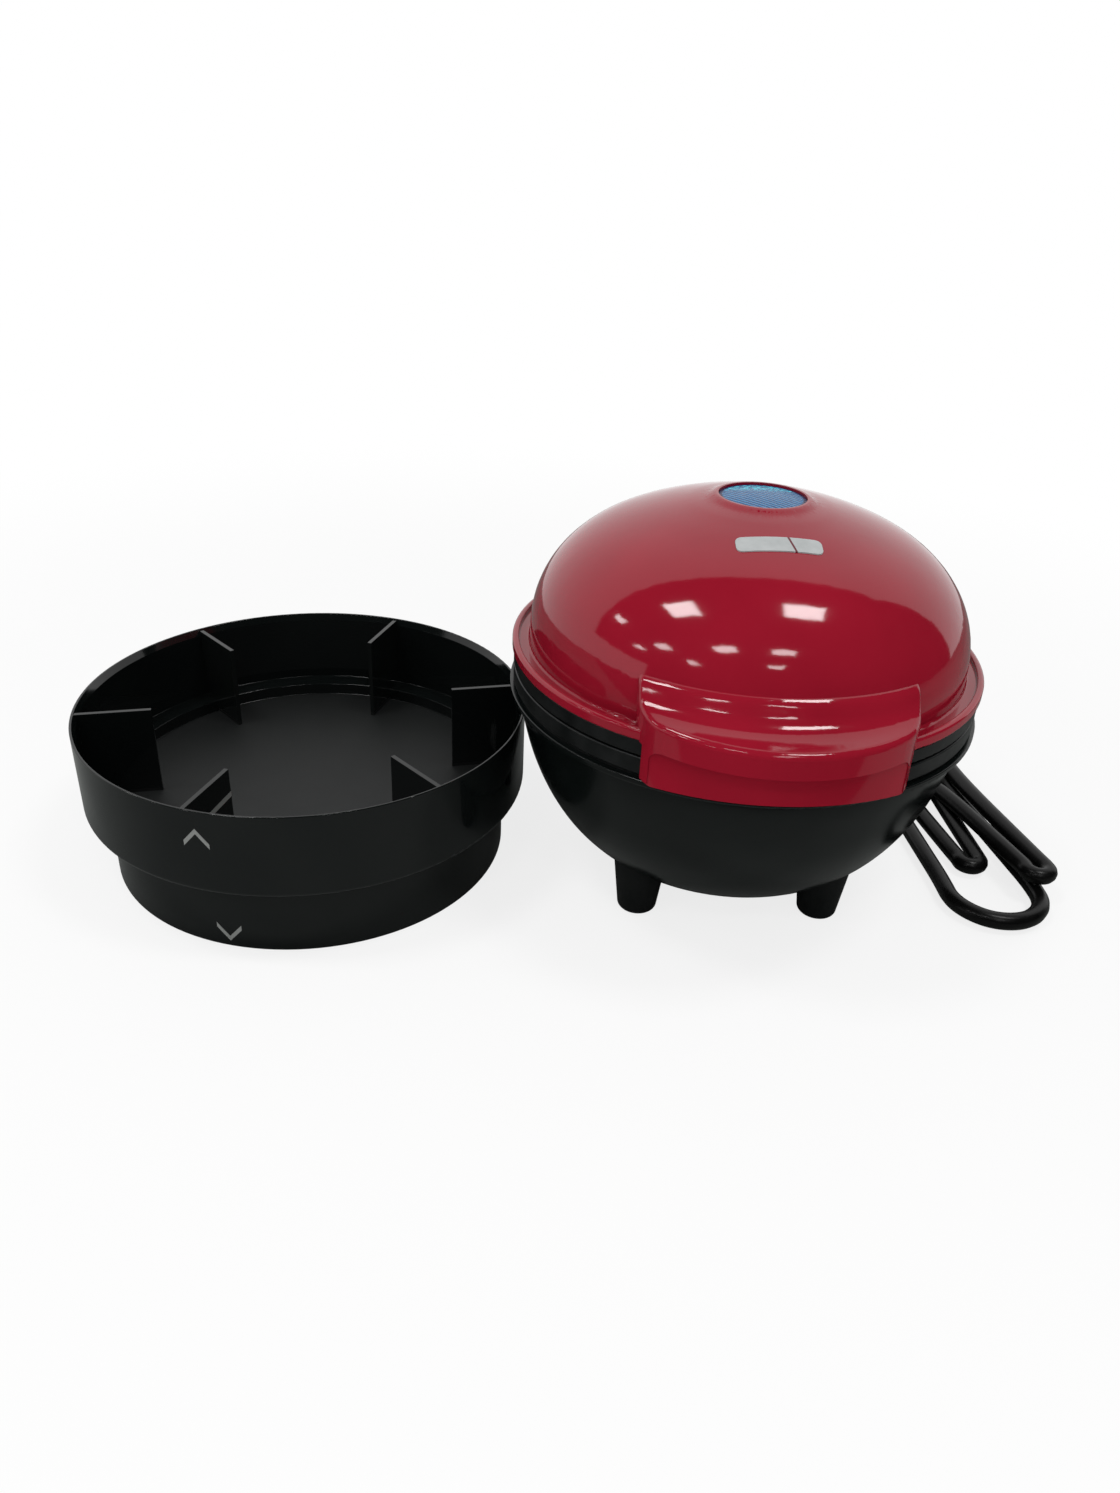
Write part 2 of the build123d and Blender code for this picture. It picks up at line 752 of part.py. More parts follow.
with BuildPart() as upper_plate:
    add(turned([
        (0, rim_low + pie_top_rise),
        (pie_top_radius - pie_top_rise / 2, rim_low + pie_top_rise),
        (pie_top_radius, rim_low),
        (crimp_radius - crimp_half_width, rim_low),
        (crimp_radius, rim_low - crimp_depth),
        (crimp_radius + crimp_half_width, rim_low),
        (plate_rim_radius, rim_low),
        (plate_rim_radius, rim_high),
        (ledge_radius - plate_seat_clearance, rim_high),
        (pie_top_radius + plate_wall, upper_plate_top),
        (element_ring_radius + rib_half_width, upper_plate_top),
        (element_ring_radius + rib_half_width, upper_rib_top),
        (element_ring_radius - rib_half_width, upper_rib_top),
        (element_ring_radius - rib_half_width, upper_plate_top),
        (0, upper_plate_top),
    ]))
    upper_post_low = upper_plate_top - plate_wall / 2
    add(posts(
        MAKER, plate_post_count, post_ring_radius, post_radius, upper_post_low, upper_shield_height,
    ))
    add(heater_tube(upper_rib_top), mode=Mode.SUBTRACT)
    screw_low = upper_shield_height + sheet_thickness - plate_screw_length
    screw_high = upper_shield_height + cut_over
    add(
        posts(MAKER, plate_post_count, post_ring_radius, screw_radius, screw_low, screw_high),
        mode=Mode.SUBTRACT,
    )
upper_plate.part.label = "upper_plate"

with BuildPart() as upper_element:
    add(element(upper_rib_top, 1))
upper_element.part.label = "upper_element"


def shield(height, lip_direction, screw_rings):
    """A round sheet-steel dish with a turned lip and clearance holes on circles."""
    lip_end = height + lip_direction * shield_lip
    inner_face = height + sheet_thickness if lip_direction > 0 else height
    outer_face = height if lip_direction > 0 else height + sheet_thickness
    with BuildPart() as body:
        add(turned([
            (0, outer_face), (shield_radius, outer_face), (shield_radius, lip_end),
            (shield_radius - sheet_thickness, lip_end), (shield_radius - sheet_thickness, inner_face),
            (0, inner_face),
        ]))
        for count, ring, radius, first in screw_rings:
            hole_high = height + sheet_thickness + cut_over
            add(posts(MAKER, count, ring, radius, height - cut_over, hole_high, first), mode=Mode.SUBTRACT)
        with BuildSketch(MAKER.offset(height - cut_over)):
            with Locations((pin_x, pin_y), (-pin_x, pin_y)):
                Circle(terminal_radius + pin_hole_clearance)
        extrude(amount=sheet_thickness + 2 * cut_over, mode=Mode.SUBTRACT)
    return body.part


with BuildPart() as upper_heat_shield:
    add(shield(upper_shield_height, 1, [
        (lid_boss_count, lid_boss_ring_radius, screw_bore_radius, back_degrees),
        (plate_post_count, post_ring_radius, screw_bore_radius, back_degrees),
    ]))
upper_heat_shield.part.label = "upper_heat_shield"

with BuildPart() as upper_plate_screws:
    add(screws(
        MAKER, plate_post_count, post_ring_radius, upper_shield_height + sheet_thickness,
        plate_screw_length, 1,
    ))
upper_plate_screws.part.label = "upper_plate_screws"

with BuildPart() as lid_screws:
    add(screws(
        MAKER, lid_boss_count, lid_boss_ring_radius, upper_shield_height - screw_head_height,
        lid_screw_length, -1,
    ))
lid_screws.part.label = "lid_screws"

# Thermal fuse in its clip on the upper plate's back
with BuildPart() as thermal_fuse:
    fuse_plane = Plane(
        origin=(maker_x - fuse_length / 2, maker_y, upper_plate_top + fuse_radius), z_dir=(1, 0, 0)
    )
    with BuildSketch(fuse_plane):
        Circle(fuse_radius)
    extrude(amount=fuse_length)
    with BuildSketch(fuse_plane.offset(-fuse_lead_length)):
        Circle(lead_radius / 2)
    extrude(amount=fuse_length + 2 * fuse_lead_length)
thermal_fuse.part.label = "thermal_fuse"

with BuildPart() as fuse_clip:
    clip_outer = fuse_radius + sheet_thickness
    with BuildSketch(SIDE):
        with Locations((0, upper_plate_top + fuse_radius)):
            Circle(clip_outer)
        with Locations((0, upper_plate_top + fuse_radius / 2)):
            Rectangle(2 * clip_outer, fuse_radius)
        with Locations((clip_outer + clip_tab / 2 - sheet_thickness, upper_plate_top + sheet_thickness / 2)):
            Rectangle(clip_tab, sheet_thickness)
        with Locations((0, upper_plate_top + fuse_radius)):
            Circle(fuse_radius, mode=Mode.SUBTRACT)
        with Locations((0, upper_plate_top + fuse_radius / 2)):
            Rectangle(2 * fuse_radius, fuse_radius, mode=Mode.SUBTRACT)
        with Locations((0, upper_plate_top - clip_outer)):
            Rectangle(4 * clip_outer, 2 * clip_outer, mode=Mode.SUBTRACT)
    extrude(amount=clip_width / 2, both=True)
fuse_clip.part.label = "fuse_clip"

# Base shell: bowl, rim, screw bosses, hinge ears and cord hole in one moulding
bowl_outer = bowl_points(bowl_radius, bowl_depth, bowl_floor_low)
bowl_inner = bowl_points(inner_bowl_radius, inner_bowl_depth, bowl_floor_low + base_wall)


def bowl_solid(points, top, top_radius):
    """The full solid inside a bowl's outline, up to a level."""
    with BuildPart() as body:
        with BuildSketch(SECTION):
            with BuildLine():
                Polyline(points[-1], (0, points[-1][1]), (0, top), (top_radius, top), points[0])
                Spline(*points, tangents=[(0, -1), (-1, -bowl_floor_slope_share)])
            make_face()
        revolve(axis=AXIS)
    return body.part


ear_front = hinge_reach - knuckle_radius
pin_half_length = lid_knuckle_half_width + hinge_side_gap + ear_width - pin_end_sink

relief_plane = Plane(origin=(maker_x, maker_y + relief_seat_reach, relief_height), z_dir=(0, 1, 0))

with BuildPart() as bowl_bosses:
    add(posts(
        MAKER, foot_count, foot_ring_radius, boss_radius, bowl_floor_low, lower_shield_height,
        foot_first_degrees,
    ))
    add(bowl_solid(bowl_outer, rim_top, bowl_radius), mode=Mode.INTERSECT)

with BuildPart() as base_shell:
    with BuildSketch(SECTION):
        with BuildLine():
            FilletPolyline(
                (0, rim_top), (rim_radius, rim_top), (rim_radius, bowl_top), bowl_outer[0],
                radius=[fine_round, rim_round],
            )
            Spline(*bowl_outer, tangents=[(0, -1), (-1, -bowl_floor_slope_share)])
            Polyline(bowl_outer[-1], (0, bowl_outer[-1][1]), (0, rim_top))
        make_face()
    revolve(axis=AXIS)
    for side in (-1, 1):
        ear_plane = SIDE.offset(side * (lid_knuckle_half_width + hinge_side_gap + ear_width / 2))
        with BuildSketch(ear_plane):
            with Locations((hinge_reach, hinge_height)):
                Circle(knuckle_radius)
            with BuildLine():
                Polyline(
                    (ear_front, hinge_height),
                    (hinge_reach + knuckle_radius, hinge_height),
                    (hinge_reach + knuckle_radius / 2, ear_shoulder_height),
                    (ear_foot_reach, ear_foot_height),
                    (ear_foot_reach, ear_shoulder_height),
                    (ear_front, ear_shoulder_height),
                    close=True,
                )
            make_face()
        extrude(amount=ear_width / 2, both=True)
    with BuildSketch(SIDE):
        with Locations((hinge_reach, hinge_height)):
            Circle(pin_radius)
    extrude(amount=pin_half_length + cut_over, both=True, mode=Mode.SUBTRACT)
    with BuildSketch(relief_plane.offset(-relief_seat_depth)):
        Circle(relief_seat_radius)
    extrude(amount=relief_seat_depth)
    add(bowl_solid(bowl_inner, rim_top, inner_bowl_radius), mode=Mode.SUBTRACT)
    add(bowl_bosses.part)
    add(
        posts(
            MAKER, foot_count, foot_ring_radius, screw_bore_radius, 0, lower_shield_height + cut_over,
            foot_first_degrees,
        ),
        mode=Mode.SUBTRACT,
    )
    with BuildSketch(relief_plane.offset(-relief_seat_depth - cut_over)):
        Circle(relief_hole_radius)
    extrude(amount=relief_seat_depth + 2 * cut_over, mode=Mode.SUBTRACT)
base_shell.part.label = "base_shell"

with BuildPart() as hinge_pin:
    with BuildSketch(SIDE):
        with Locations((hinge_reach, hinge_height)):
            Circle(pin_radius)
    extrude(amount=pin_half_length, both=True)
hinge_pin.part.label = "hinge_pin"

# Base ring above the groove, with a ledge for the lower plate
ring_skirt_low = rim_top - ring_skirt_height
bowl_at_skirt = bulge(
    inner_bowl_radius, inner_bowl_depth, bowl_end_power, bowl_side_power, bowl_top - ring_skirt_low
)

with BuildPart() as base_ring:
    add(turned([
        (plate_rim_radius + plate_seat_clearance, base_ring_top),
        (stack_radius, base_ring_top),
        (stack_radius, groove_top),
        (groove_radius, groove_top),
        (groove_radius, rim_top),
        (bowl_at_skirt - ring_clearance, rim_top),
        (bowl_at_skirt - ring_clearance, ring_skirt_low),
        (ledge_radius + ring_skirt_inset, ring_skirt_low),
        (ledge_radius + ring_skirt_inset, plate_seat - plate_wall),
        (ledge_radius, plate_seat - plate_wall),
        (ledge_radius, plate_seat),
        (plate_rim_radius + plate_seat_clearance, plate_seat),
    ]))
    fillet(base_ring.edges().filter_by(GeomType.CIRCLE).group_by(SortBy.RADIUS)[-1], ring_edge_round)
base_ring.part.label = "base_ring"

# Lower plate with the pie well, its heater, shield and screws
with BuildPart() as lower_plate:
    with BuildSketch(SECTION):
        with BuildLine():
            FilletPolyline(
                (0, well_floor), (well_floor_radius, well_floor), (well_radius, plate_top),
                radius=well_corner_round,
            )
            Polyline(
                (well_radius, plate_top),
                (crimp_radius - crimp_half_width, plate_top),
                (crimp_radius, plate_top - crimp_depth),
                (crimp_radius + crimp_half_width, plate_top),
                (plate_rim_radius, plate_top),
                (plate_rim_radius, plate_seat),
                (ledge_radius - plate_seat_clearance, plate_seat),
                (well_radius + plate_wall, plate_seat - plate_wall / 2),
            )
            FilletPolyline(
                (well_radius + plate_wall, plate_seat - plate_wall / 2),
                (well_floor_radius + plate_wall, well_under),
                (element_ring_radius + rib_half_width, well_under),
                radius=well_corner_round,
            )
            Polyline(
                (element_ring_radius + rib_half_width, well_under),
                (element_ring_radius + rib_half_width, lower_rib_low),
                (element_ring_radius - rib_half_width, lower_rib_low),
                (element_ring_radius - rib_half_width, well_under),
                (0, well_under),
                (0, well_floor),
            )
        make_face()
    revolve(axis=AXIS)
    lower_post_high = well_under + plate_wall / 2
    add(posts(
        MAKER, plate_post_count, post_ring_radius, post_radius, lower_shield_top, lower_post_high,
    ))
    add(heater_tube(lower_rib_low), mode=Mode.SUBTRACT)
    add(
        posts(
            MAKER, plate_post_count, post_ring_radius, screw_radius,
            lower_shield_height - cut_over, lower_shield_height + plate_screw_length,
        ),
        mode=Mode.SUBTRACT,
    )
lower_plate.part.label = "lower_plate"

with BuildPart() as lower_element:
    add(element(lower_rib_low, -1))
lower_element.part.label = "lower_element"

with BuildPart() as lower_heat_shield:
    add(shield(lower_shield_height, 1, [
        (foot_count, foot_ring_radius, screw_radius, foot_first_degrees),
        (plate_post_count, post_ring_radius, screw_bore_radius, back_degrees),
        (1, 0, thermostat_radius + thermostat_clearance, back_degrees),
    ]))
lower_heat_shield.part.label = "lower_heat_shield"

with BuildPart() as lower_plate_screws:
    add(screws(
        MAKER, plate_post_count, post_ring_radius, lower_shield_height - screw_head_height,
        plate_screw_length, -1,
    ))
lower_plate_screws.part.label = "lower_plate_screws"

with BuildPart() as thermostat:
    with BuildSketch(MAKER.offset(well_under - thermostat_height)):
        Circle(thermostat_radius)
    extrude(amount=thermostat_height)
    fillet(thermostat.faces().sort_by(Axis.Z)[0].edges(), terminal_radius)
    with BuildSketch(MAKER.offset(well_under - thermostat_height - tab_length)):
        with GridLocations(thermostat_radius, 0, 2, 1):
            Rectangle(tab_width, tab_thickness)
    extrude(amount=tab_length + tab_thickness)
thermostat.part.label = "thermostat"

block_floor = bowl_floor_low + base_wall

with BuildPart() as terminal_block:
    with BuildSketch(MAKER.offset(block_floor)):
        with Locations((0, block_reach)):
            RectangleRounded(block_length, block_depth, terminal_radius)
    extrude(amount=block_height)
    with BuildSketch(MAKER.offset(block_floor + block_height - screw_head_height)):
        with Locations((0, block_reach)):
            with GridLocations(block_length / 2, 0, 2, 1):
                Circle(screw_radius)
    extrude(amount=screw_head_height, mode=Mode.SUBTRACT)
terminal_block.part.label = "terminal_block"


def lead(points):
    """One insulated wire along a hand-laid route."""
    body, _, _ = tube(points, lead_radius)
    return body


lower_pin_low = lower_rib_low - element_tube_radius - terminal_length
upper_pin_high = upper_rib_top + element_tube_radius + terminal_length
block_back = block_reach + block_depth / 2
block_middle = block_floor + block_height / 2
supply_start = relief_seat_reach - relief_inside
lamp_lead_low = holder_low - holder_wall
lamp_lead_rise = lamp_lead_low - upper_pin_high

with BuildPart() as base_leads:
    for side in (-1, 1):
        add(lead([
            (side * pin_x, pin_y, lower_pin_low),
            *(
                (side * pin_x * x, pin_y * y, lower_pin_low - (lower_pin_low - block_middle) * down)
                for x, y, down in element_lead_shares
            ),
            (side * pin_x * element_lead_shares[-1][0], block_back, block_middle),
        ]))
        add(lead([
            (side * supply_spread, supply_start, relief_height),
            *(
                (side * supply_spread, supply_start * y, block_middle + (relief_height - block_middle) * up)
                for y, up in supply_lead_shares
            ),
            (side * supply_spread, block_back, block_middle),
        ]))
base_leads.part.label = "base_leads"

with BuildPart() as lid_leads:
    for side in (-1, 1):
        add(lead([
            (side * pin_x, pin_y, upper_pin_high),
            *(
                (side * pin_x * x, pin_y * y, upper_pin_high + lamp_lead_rise * up)
                for x, y, up in lamp_lead_shares
            ),
            (side * pin_x * lamp_lead_shares[-1][0], 0, lamp_lead_low),
        ]))
lid_leads.part.label = "lid_leads"

# Feet, one under each corner of the bowl, and their screws
foot_outer_radius = foot_ring_radius + foot_top_radius
bowl_at_foot = bulge_height(bowl_radius, bowl_depth, bowl_end_power, bowl_side_power, foot_outer_radius)
foot_top = bowl_top - bowl_at_foot + foot_bury
foot_screw_length = lower_shield_top + screw_tip - foot_recess_height

feet = {}
for index, name in enumerate(("foot_back_right", "foot_back_left", "foot_front_left", "foot_front_right")):
    with BuildPart() as foot:
        angle = math.radians(foot_first_degrees) + 2 * math.pi * index / foot_count
        foot_x = maker_x + foot_ring_radius * math.cos(angle)
        foot_y = maker_y + foot_ring_radius * math.sin(angle)
        with BuildSketch(Plane(origin=(foot_x, foot_y, 0), x_dir=(1, 0, 0), z_dir=(0, -1, 0))):
            with BuildLine():
                FilletPolyline(
                    (0, 0), (foot_bottom_radius, 0), (foot_top_radius, foot_top), (0, foot_top),
                    radius=[foot_round, fine_round],
                )
                Line((0, foot_top), (0, 0))
            make_face()
        revolve(axis=Axis((foot_x, foot_y, 0), (0, 0, 1)))
        add(bowl_solid(bowl_outer, rim_top, bowl_radius), mode=Mode.SUBTRACT)
        with BuildSketch(Plane(origin=(foot_x, foot_y, 0))):
            Circle(screw_head_radius + foot_recess_clearance)
        extrude(amount=foot_recess_height, mode=Mode.SUBTRACT)
        with BuildSketch(Plane(origin=(foot_x, foot_y, 0))):
            Circle(screw_bore_radius)
        extrude(amount=foot_top, mode=Mode.SUBTRACT)
    foot.part.label = name
    feet[name] = foot

with BuildPart() as foot_screws:
    add(screws(
        MAKER, foot_count, foot_ring_radius, foot_recess_height - screw_head_height, foot_screw_length, -1,
        foot_first_degrees,
    ))
foot_screws.part.label = "foot_screws"

# Strain relief: a bushing through the seat, with a ribbed tail
relief_axis = Axis((maker_x, maker_y, relief_height), (0, 1, 0))
relief_neck_radius = relief_hole_radius - relief_hole_clearance
tail_start = relief_seat_reach + relief_flange_thickness
ring_pitch = relief_length / (relief_rings + 2)

with BuildPart() as strain_relief:
    with BuildSketch(SIDE):
        with BuildLine():
            Polyline(
                (supply_start, relief_height),
                (supply_start, relief_height + relief_neck_radius),
                (relief_seat_reach, relief_height + relief_neck_radius),
                (relief_seat_reach, relief_height + relief_flange_radius),
                (tail_start, relief_height + relief_flange_radius),
                (tail_start, relief_height + relief_root_radius),
                (relief_end, relief_height + relief_tip_radius),
                (relief_end, relief_height),
                close=True,
            )
        make_face()
    revolve(axis=relief_axis)
    for i in range(relief_rings):
        place = tail_start + ring_pitch * (i + 1)
        share = (place - tail_start) / (relief_end - tail_start)
        surface = relief_root_radius + (relief_tip_radius - relief_root_radius) * share
        with BuildSketch(SIDE):
            with Locations((place, relief_height + surface)):
                Rectangle(ring_pitch / 2, 2 * relief_ring_depth)
        revolve(axis=relief_axis, mode=Mode.SUBTRACT)
strain_relief.part.label = "strain_relief"

# Cord, in three lengths that meet face to face
cord_body, cord_length, cord_radii = tube(cord_points, cord_radius)
tail_body, tail_length, tail_radii = tube(tail_points, cord_radius)
print("cord radii", [round(radius, 1) for radius in cord_radii])
print("tail radii", [round(radius, 1) for radius in tail_radii])

with BuildPart() as cord:
    add(cord_body)
cord.part.label = "cord"

with BuildPart() as cord_tail:
    add(tail_body)
cord_tail.part.label = "cord_tail"


def strand(index):
    """Sideways place of a strand in the tie, counted from the left."""
    return waist_middle + strand_pitch * (index - (strand_count - 1) / 2)


def lobe(side, enter, leave, shape, lean, height):
    """Knots of a lobe: x, y, z and heading, from the tie out on one side and back to it."""
    middle, half_width, tip = shape
    turn = 1 if enter > leave else -1
    out_heading = back_degrees * side
    shoulder = tip - side * shoulder_share * half_width
    waist = tie_place + side * waist_half_length
    return [
        (enter, waist, height, out_heading),
        (middle + turn * half_width, shoulder, height, out_heading - lean * turn * side),
        (middle, tip, height, 2 * back_degrees if turn > 0 else 0),
        (middle - turn * half_width, shoulder, height, -out_heading + lean * turn * side),
        (leave, waist, height, -out_heading),
    ]


def heading_between(first, second):
    """Heading in degrees from one place to the next, seen from above."""
    return math.degrees(math.atan2(second[1] - first[1], second[0] - first[0]))


left, left_inner, centre, right_inner, right = [strand(i) for i in range(strand_count)]
top_lobe = lobe(-1, right, centre, front_top, top_lean_degrees, top_height)
hank_knots = [
    (*cord_points[-1], heading_between(cord_points[-2], cord_points[-1])),
    (right, tie_place + waist_half_length, top_height, -back_degrees),
    *top_lobe[:-1],
    (*climb_start, top_height, climb_degrees),
    (centre, tie_place - waist_half_length, lay_height, back_degrees),
    *lobe(1, centre, left_inner, back_inner, lobe_lean_degrees, lay_height),
    *lobe(-1, left_inner, right_inner, front_short, lobe_lean_degrees, lay_height),
    *lobe(1, right_inner, left, back_outer, lobe_lean_degrees, lay_height),
    *lobe(-1, left, right, front_big, lobe_lean_degrees, lay_height),
    (right, tie_place + waist_half_length, lay_height, back_degrees),
    (*tail_points[0], heading_between(tail_points[0], tail_points[1])),
]


def biarc_joint(start, start_way, end, end_way):
    """Where two tangent arcs that join two places meet."""
    chord = end - start
    ways = start_way + end_way
    along = chord.dot(ways)
    spread = 2 * (1 - start_way.dot(end_way))
    if spread < straight_share:
        reach = chord.dot(chord) / (2 * along)
    else:
        reach = (math.sqrt(along ** 2 + spread * chord.dot(chord)) - along) / spread
    return (start + start_way * reach + end - end_way * reach) * 0.5


def arc_or_line(start, way, end):
    """A straight run where the way already points at the end, or else a tangent arc."""
    if way.cross((end - start).normalized()).length < straight_share:
        return Line(start, end)
    return TangentArc(start, end, tangent=way)


with BuildLine() as hank_path:
    places = [MAKER.from_local_coords(Vector(x, y, z)) for x, y, z, heading in hank_knots]
    ways = [
        Vector(math.cos(math.radians(heading)), math.sin(math.radians(heading)), 0)
        for x, y, z, heading in hank_knots
    ]
    for start, start_way, end, end_way in zip(places, ways, places[1:], ways[1:]):
        joint = biarc_joint(start, start_way, end, end_way)
        first = arc_or_line(start, start_way, joint)
        arc_or_line(joint, first % 1, end)

with BuildPart() as cord_hank:
    with BuildSketch(Plane(origin=places[0], z_dir=ways[0])):
        Circle(cord_radius)
    sweep(path=hank_path.wire())
cord_hank.part.label = "cord_hank"

# Least gap of the hank to itself, measured on points along its path
hank_length = hank_path.wire().length
sample_count = int(hank_length)
samples = [hank_path.wire() @ (i / sample_count) for i in range(sample_count + 1)]
near_samples = int(near_turns * 2 * math.pi * cord_radius)
least_gap = min(
    (samples[i] - samples[j]).length
    for i in range(len(samples)) for j in range(i + near_samples, len(samples))
) - 2 * cord_radius
print("hank least gap to itself", round(least_gap, 2))
for piece, length in ((cord, cord_length), (cord_hank, hank_length), (cord_tail, tail_length)):
    expected = math.pi * cord_radius ** 2 * length
    volume_share = round(piece.part.volume / expected, 3)
    print(piece.part.label, "length", round(length, 1), "volume share", volume_share)
print("cord length in all", round(cord_length + hank_length + tail_length, 1))

# Tie round the hank's waist
tie_plane = Plane(
    origin=(maker_x, maker_y + tie_place - tie_width / 2, 0), x_dir=(-1, 0, 0), z_dir=(0, 1, 0)
)
tie_left = left - cord_radius - tie_clearance
tie_right = right + cord_radius + tie_clearance
tie_top = top_height + cord_radius + tie_clearance
tie_shoulder = lay_height + cord_radius + tie_clearance
tie_outline = [
    (-tie_left, tie_thickness), (-tie_right, tie_thickness), (-tie_right, tie_top),
    (-right + cord_radius, tie_top), (-tie_left, tie_shoulder),
]

with BuildPart() as cord_tie:
    with BuildSketch(tie_plane):
        with BuildLine():
            Polyline(*tie_outline, close=True)
        make_face()
        offset(amount=tie_thickness, kind=Kind.ARC)
        with BuildLine():
            Polyline(*tie_outline, close=True)
        make_face(mode=Mode.SUBTRACT)
    extrude(amount=tie_width)
cord_tie.part.label = "cord_tie"

# Plug
plug_tip = tail_points[-1]
plug_plane = Plane(
    origin=(maker_x + plug_tip[0], maker_y + plug_tip[1], plug_tip[2]), x_dir=(0, 1, 0), z_dir=(-1, 0, 0)
)

with BuildPart() as plug_body:
    with BuildSketch(plug_plane.offset(plug_neck_length)):
        RectangleRounded(plug_width, plug_height, plug_round)
    extrude(amount=plug_length)
    fillet(plug_body.faces().sort_by(Axis.X)[0].edges(), plug_front_round)
    fillet(plug_body.faces().sort_by(Axis.X)[-1].edges(), plug_back_round)
    with BuildSketch(plug_plane):
        Circle(plug_neck_tip_radius)
    with BuildSketch(plug_plane.offset(plug_neck_length)):
        Circle(plug_neck_root_radius)
    loft()
    with BuildSketch(plug_plane.offset(plug_neck_length + plug_length - blade_buried)):
        with GridLocations(blade_spacing, 0, 2, 1):
            Rectangle(blade_thickness, blade_width)
    extrude(amount=blade_buried, mode=Mode.SUBTRACT)
plug_body.part.label = "plug_body"

with BuildPart() as plug_blades:
    with BuildSketch(plug_plane.offset(plug_neck_length + plug_length - blade_buried)):
        with GridLocations(blade_spacing, 0, 2, 1):
            Rectangle(blade_thickness, blade_width)
    extrude(amount=blade_buried + blade_length)
    chamfer(plug_blades.faces().sort_by(Axis.X)[:2].edges().filter_by(Axis.Y), blade_tip_chamfer)
    hole_x = maker_x + plug_tip[0] - plug_neck_length - plug_length - blade_hole_reach
    hole_plane = Plane(origin=(hole_x, maker_y + plug_tip[1], plug_tip[2]), z_dir=(0, 1, 0))
    with BuildSketch(hole_plane):
        Circle(blade_hole_radius)
    extrude(amount=plug_width, both=True, mode=Mode.SUBTRACT)
plug_blades.part.label = "plug_blades"

# Crust cutter: a wide cutting ring above, a narrow one below, a closed web between and fins inside
step_top = cutter_step_height + cutter_wall
cutter_radii = [cutter_fine_round] * 5 + [cutter_step_round] + [cutter_fine_round] * 6

with BuildPart() as crust_cutter:
    with BuildSketch(CUTTER_SECTION):
        with BuildLine():
            FilletPolyline(
                (0, cutter_web_height),
                (cutter_small_radius - cutter_wall, cutter_web_height),
                (cutter_small_radius - cutter_wall, cutter_edge_height),
                (cutter_small_radius - cutter_edge, 0),
                (cutter_small_radius, 0),
                (cutter_small_radius, cutter_step_height),
                (cutter_radius, cutter_step_height),
                (cutter_radius, cutter_height),
                (cutter_radius - cutter_edge, cutter_height),
                (cutter_radius - cutter_wall, cutter_height - cutter_edge_height),
                (cutter_radius - cutter_wall, step_top),
                (cutter_small_radius - cutter_wall, step_top),
                (cutter_small_radius - cutter_wall, cutter_web_height + cutter_web_thickness),
                (0, cutter_web_height + cutter_web_thickness),
                radius=cutter_radii,
            )
            Line((0, cutter_web_height + cutter_web_thickness), (0, cutter_web_height))
        make_face()
    revolve(axis=CUTTER_AXIS)
    fin_outer = cutter_radius - cutter_wall / 2
    fin_top = cutter_height - fin_drop
    with BuildSketch(CUTTER.offset(cutter_web_height + cutter_web_thickness / 2)):
        with PolarLocations((fin_outer + fin_inner_radius) / 2, fin_count, start_angle=fin_first_degrees):
            Rectangle(fin_outer - fin_inner_radius, fin_thickness)
        Circle(cutter_small_radius - cutter_wall / 2, mode=Mode.INTERSECT)
    extrude(amount=step_top - cutter_web_height)
    with BuildSketch(CUTTER.offset(cutter_step_height + cutter_wall / 2)):
        with PolarLocations((fin_outer + fin_inner_radius) / 2, fin_count, start_angle=fin_first_degrees):
            Rectangle(fin_outer - fin_inner_radius, fin_thickness)
    extrude(amount=fin_top - cutter_step_height - cutter_wall / 2)
crust_cutter.part.label = "crust_cutter"

os.makedirs("parts", exist_ok=True)
export_step(lid_shell.part, "parts/lid_shell.step")
export_step(indicator_lens.part, "parts/indicator_lens.step")
export_step(lamp_holder.part, "parts/lamp_holder.step")
export_step(indicator_lamp.part, "parts/indicator_lamp.step")
export_step(badge.part, "parts/badge.step")
export_step(lid_ring.part, "parts/lid_ring.step")
export_step(upper_plate.part, "parts/upper_plate.step")
export_step(upper_element.part, "parts/upper_element.step")
export_step(upper_heat_shield.part, "parts/upper_heat_shield.step")
export_step(upper_plate_screws.part, "parts/upper_plate_screws.step")
export_step(lid_screws.part, "parts/lid_screws.step")
export_step(thermal_fuse.part, "parts/thermal_fuse.step")
export_step(fuse_clip.part, "parts/fuse_clip.step")
export_step(lid_leads.part, "parts/lid_leads.step")
export_step(base_shell.part, "parts/base_shell.step")
export_step(hinge_pin.part, "parts/hinge_pin.step")
export_step(base_ring.part, "parts/base_ring.step")
export_step(lower_plate.part, "parts/lower_plate.step")
export_step(lower_element.part, "parts/lower_element.step")
export_step(lower_heat_shield.part, "parts/lower_heat_shield.step")
export_step(lower_plate_screws.part, "parts/lower_plate_screws.step")
export_step(thermostat.part, "parts/thermostat.step")
export_step(terminal_block.part, "parts/terminal_block.step")
export_step(base_leads.part, "parts/base_leads.step")
for name, foot in feet.items():
    export_step(foot.part, f"parts/{name}.step")
export_step(foot_screws.part, "parts/foot_screws.step")
export_step(strain_relief.part, "parts/strain_relief.step")
export_step(cord.part, "parts/cord.step")
export_step(cord_hank.part, "parts/cord_hank.step")
export_step(cord_tie.part, "parts/cord_tie.step")
export_step(cord_tail.part, "parts/cord_tail.step")
export_step(plug_body.part, "parts/plug_body.step")
export_step(plug_blades.part, "parts/plug_blades.step")
export_step(crust_cutter.part, "parts/crust_cutter.step")
print("maker axis", round(maker_x, 3), round(maker_y, 3))
print("cutter axis", round(cutter_x, 3), round(cutter_y, 3))
print("heat shields at", round(lower_shield_height, 3), round(upper_shield_height, 3))
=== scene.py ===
import json
import math

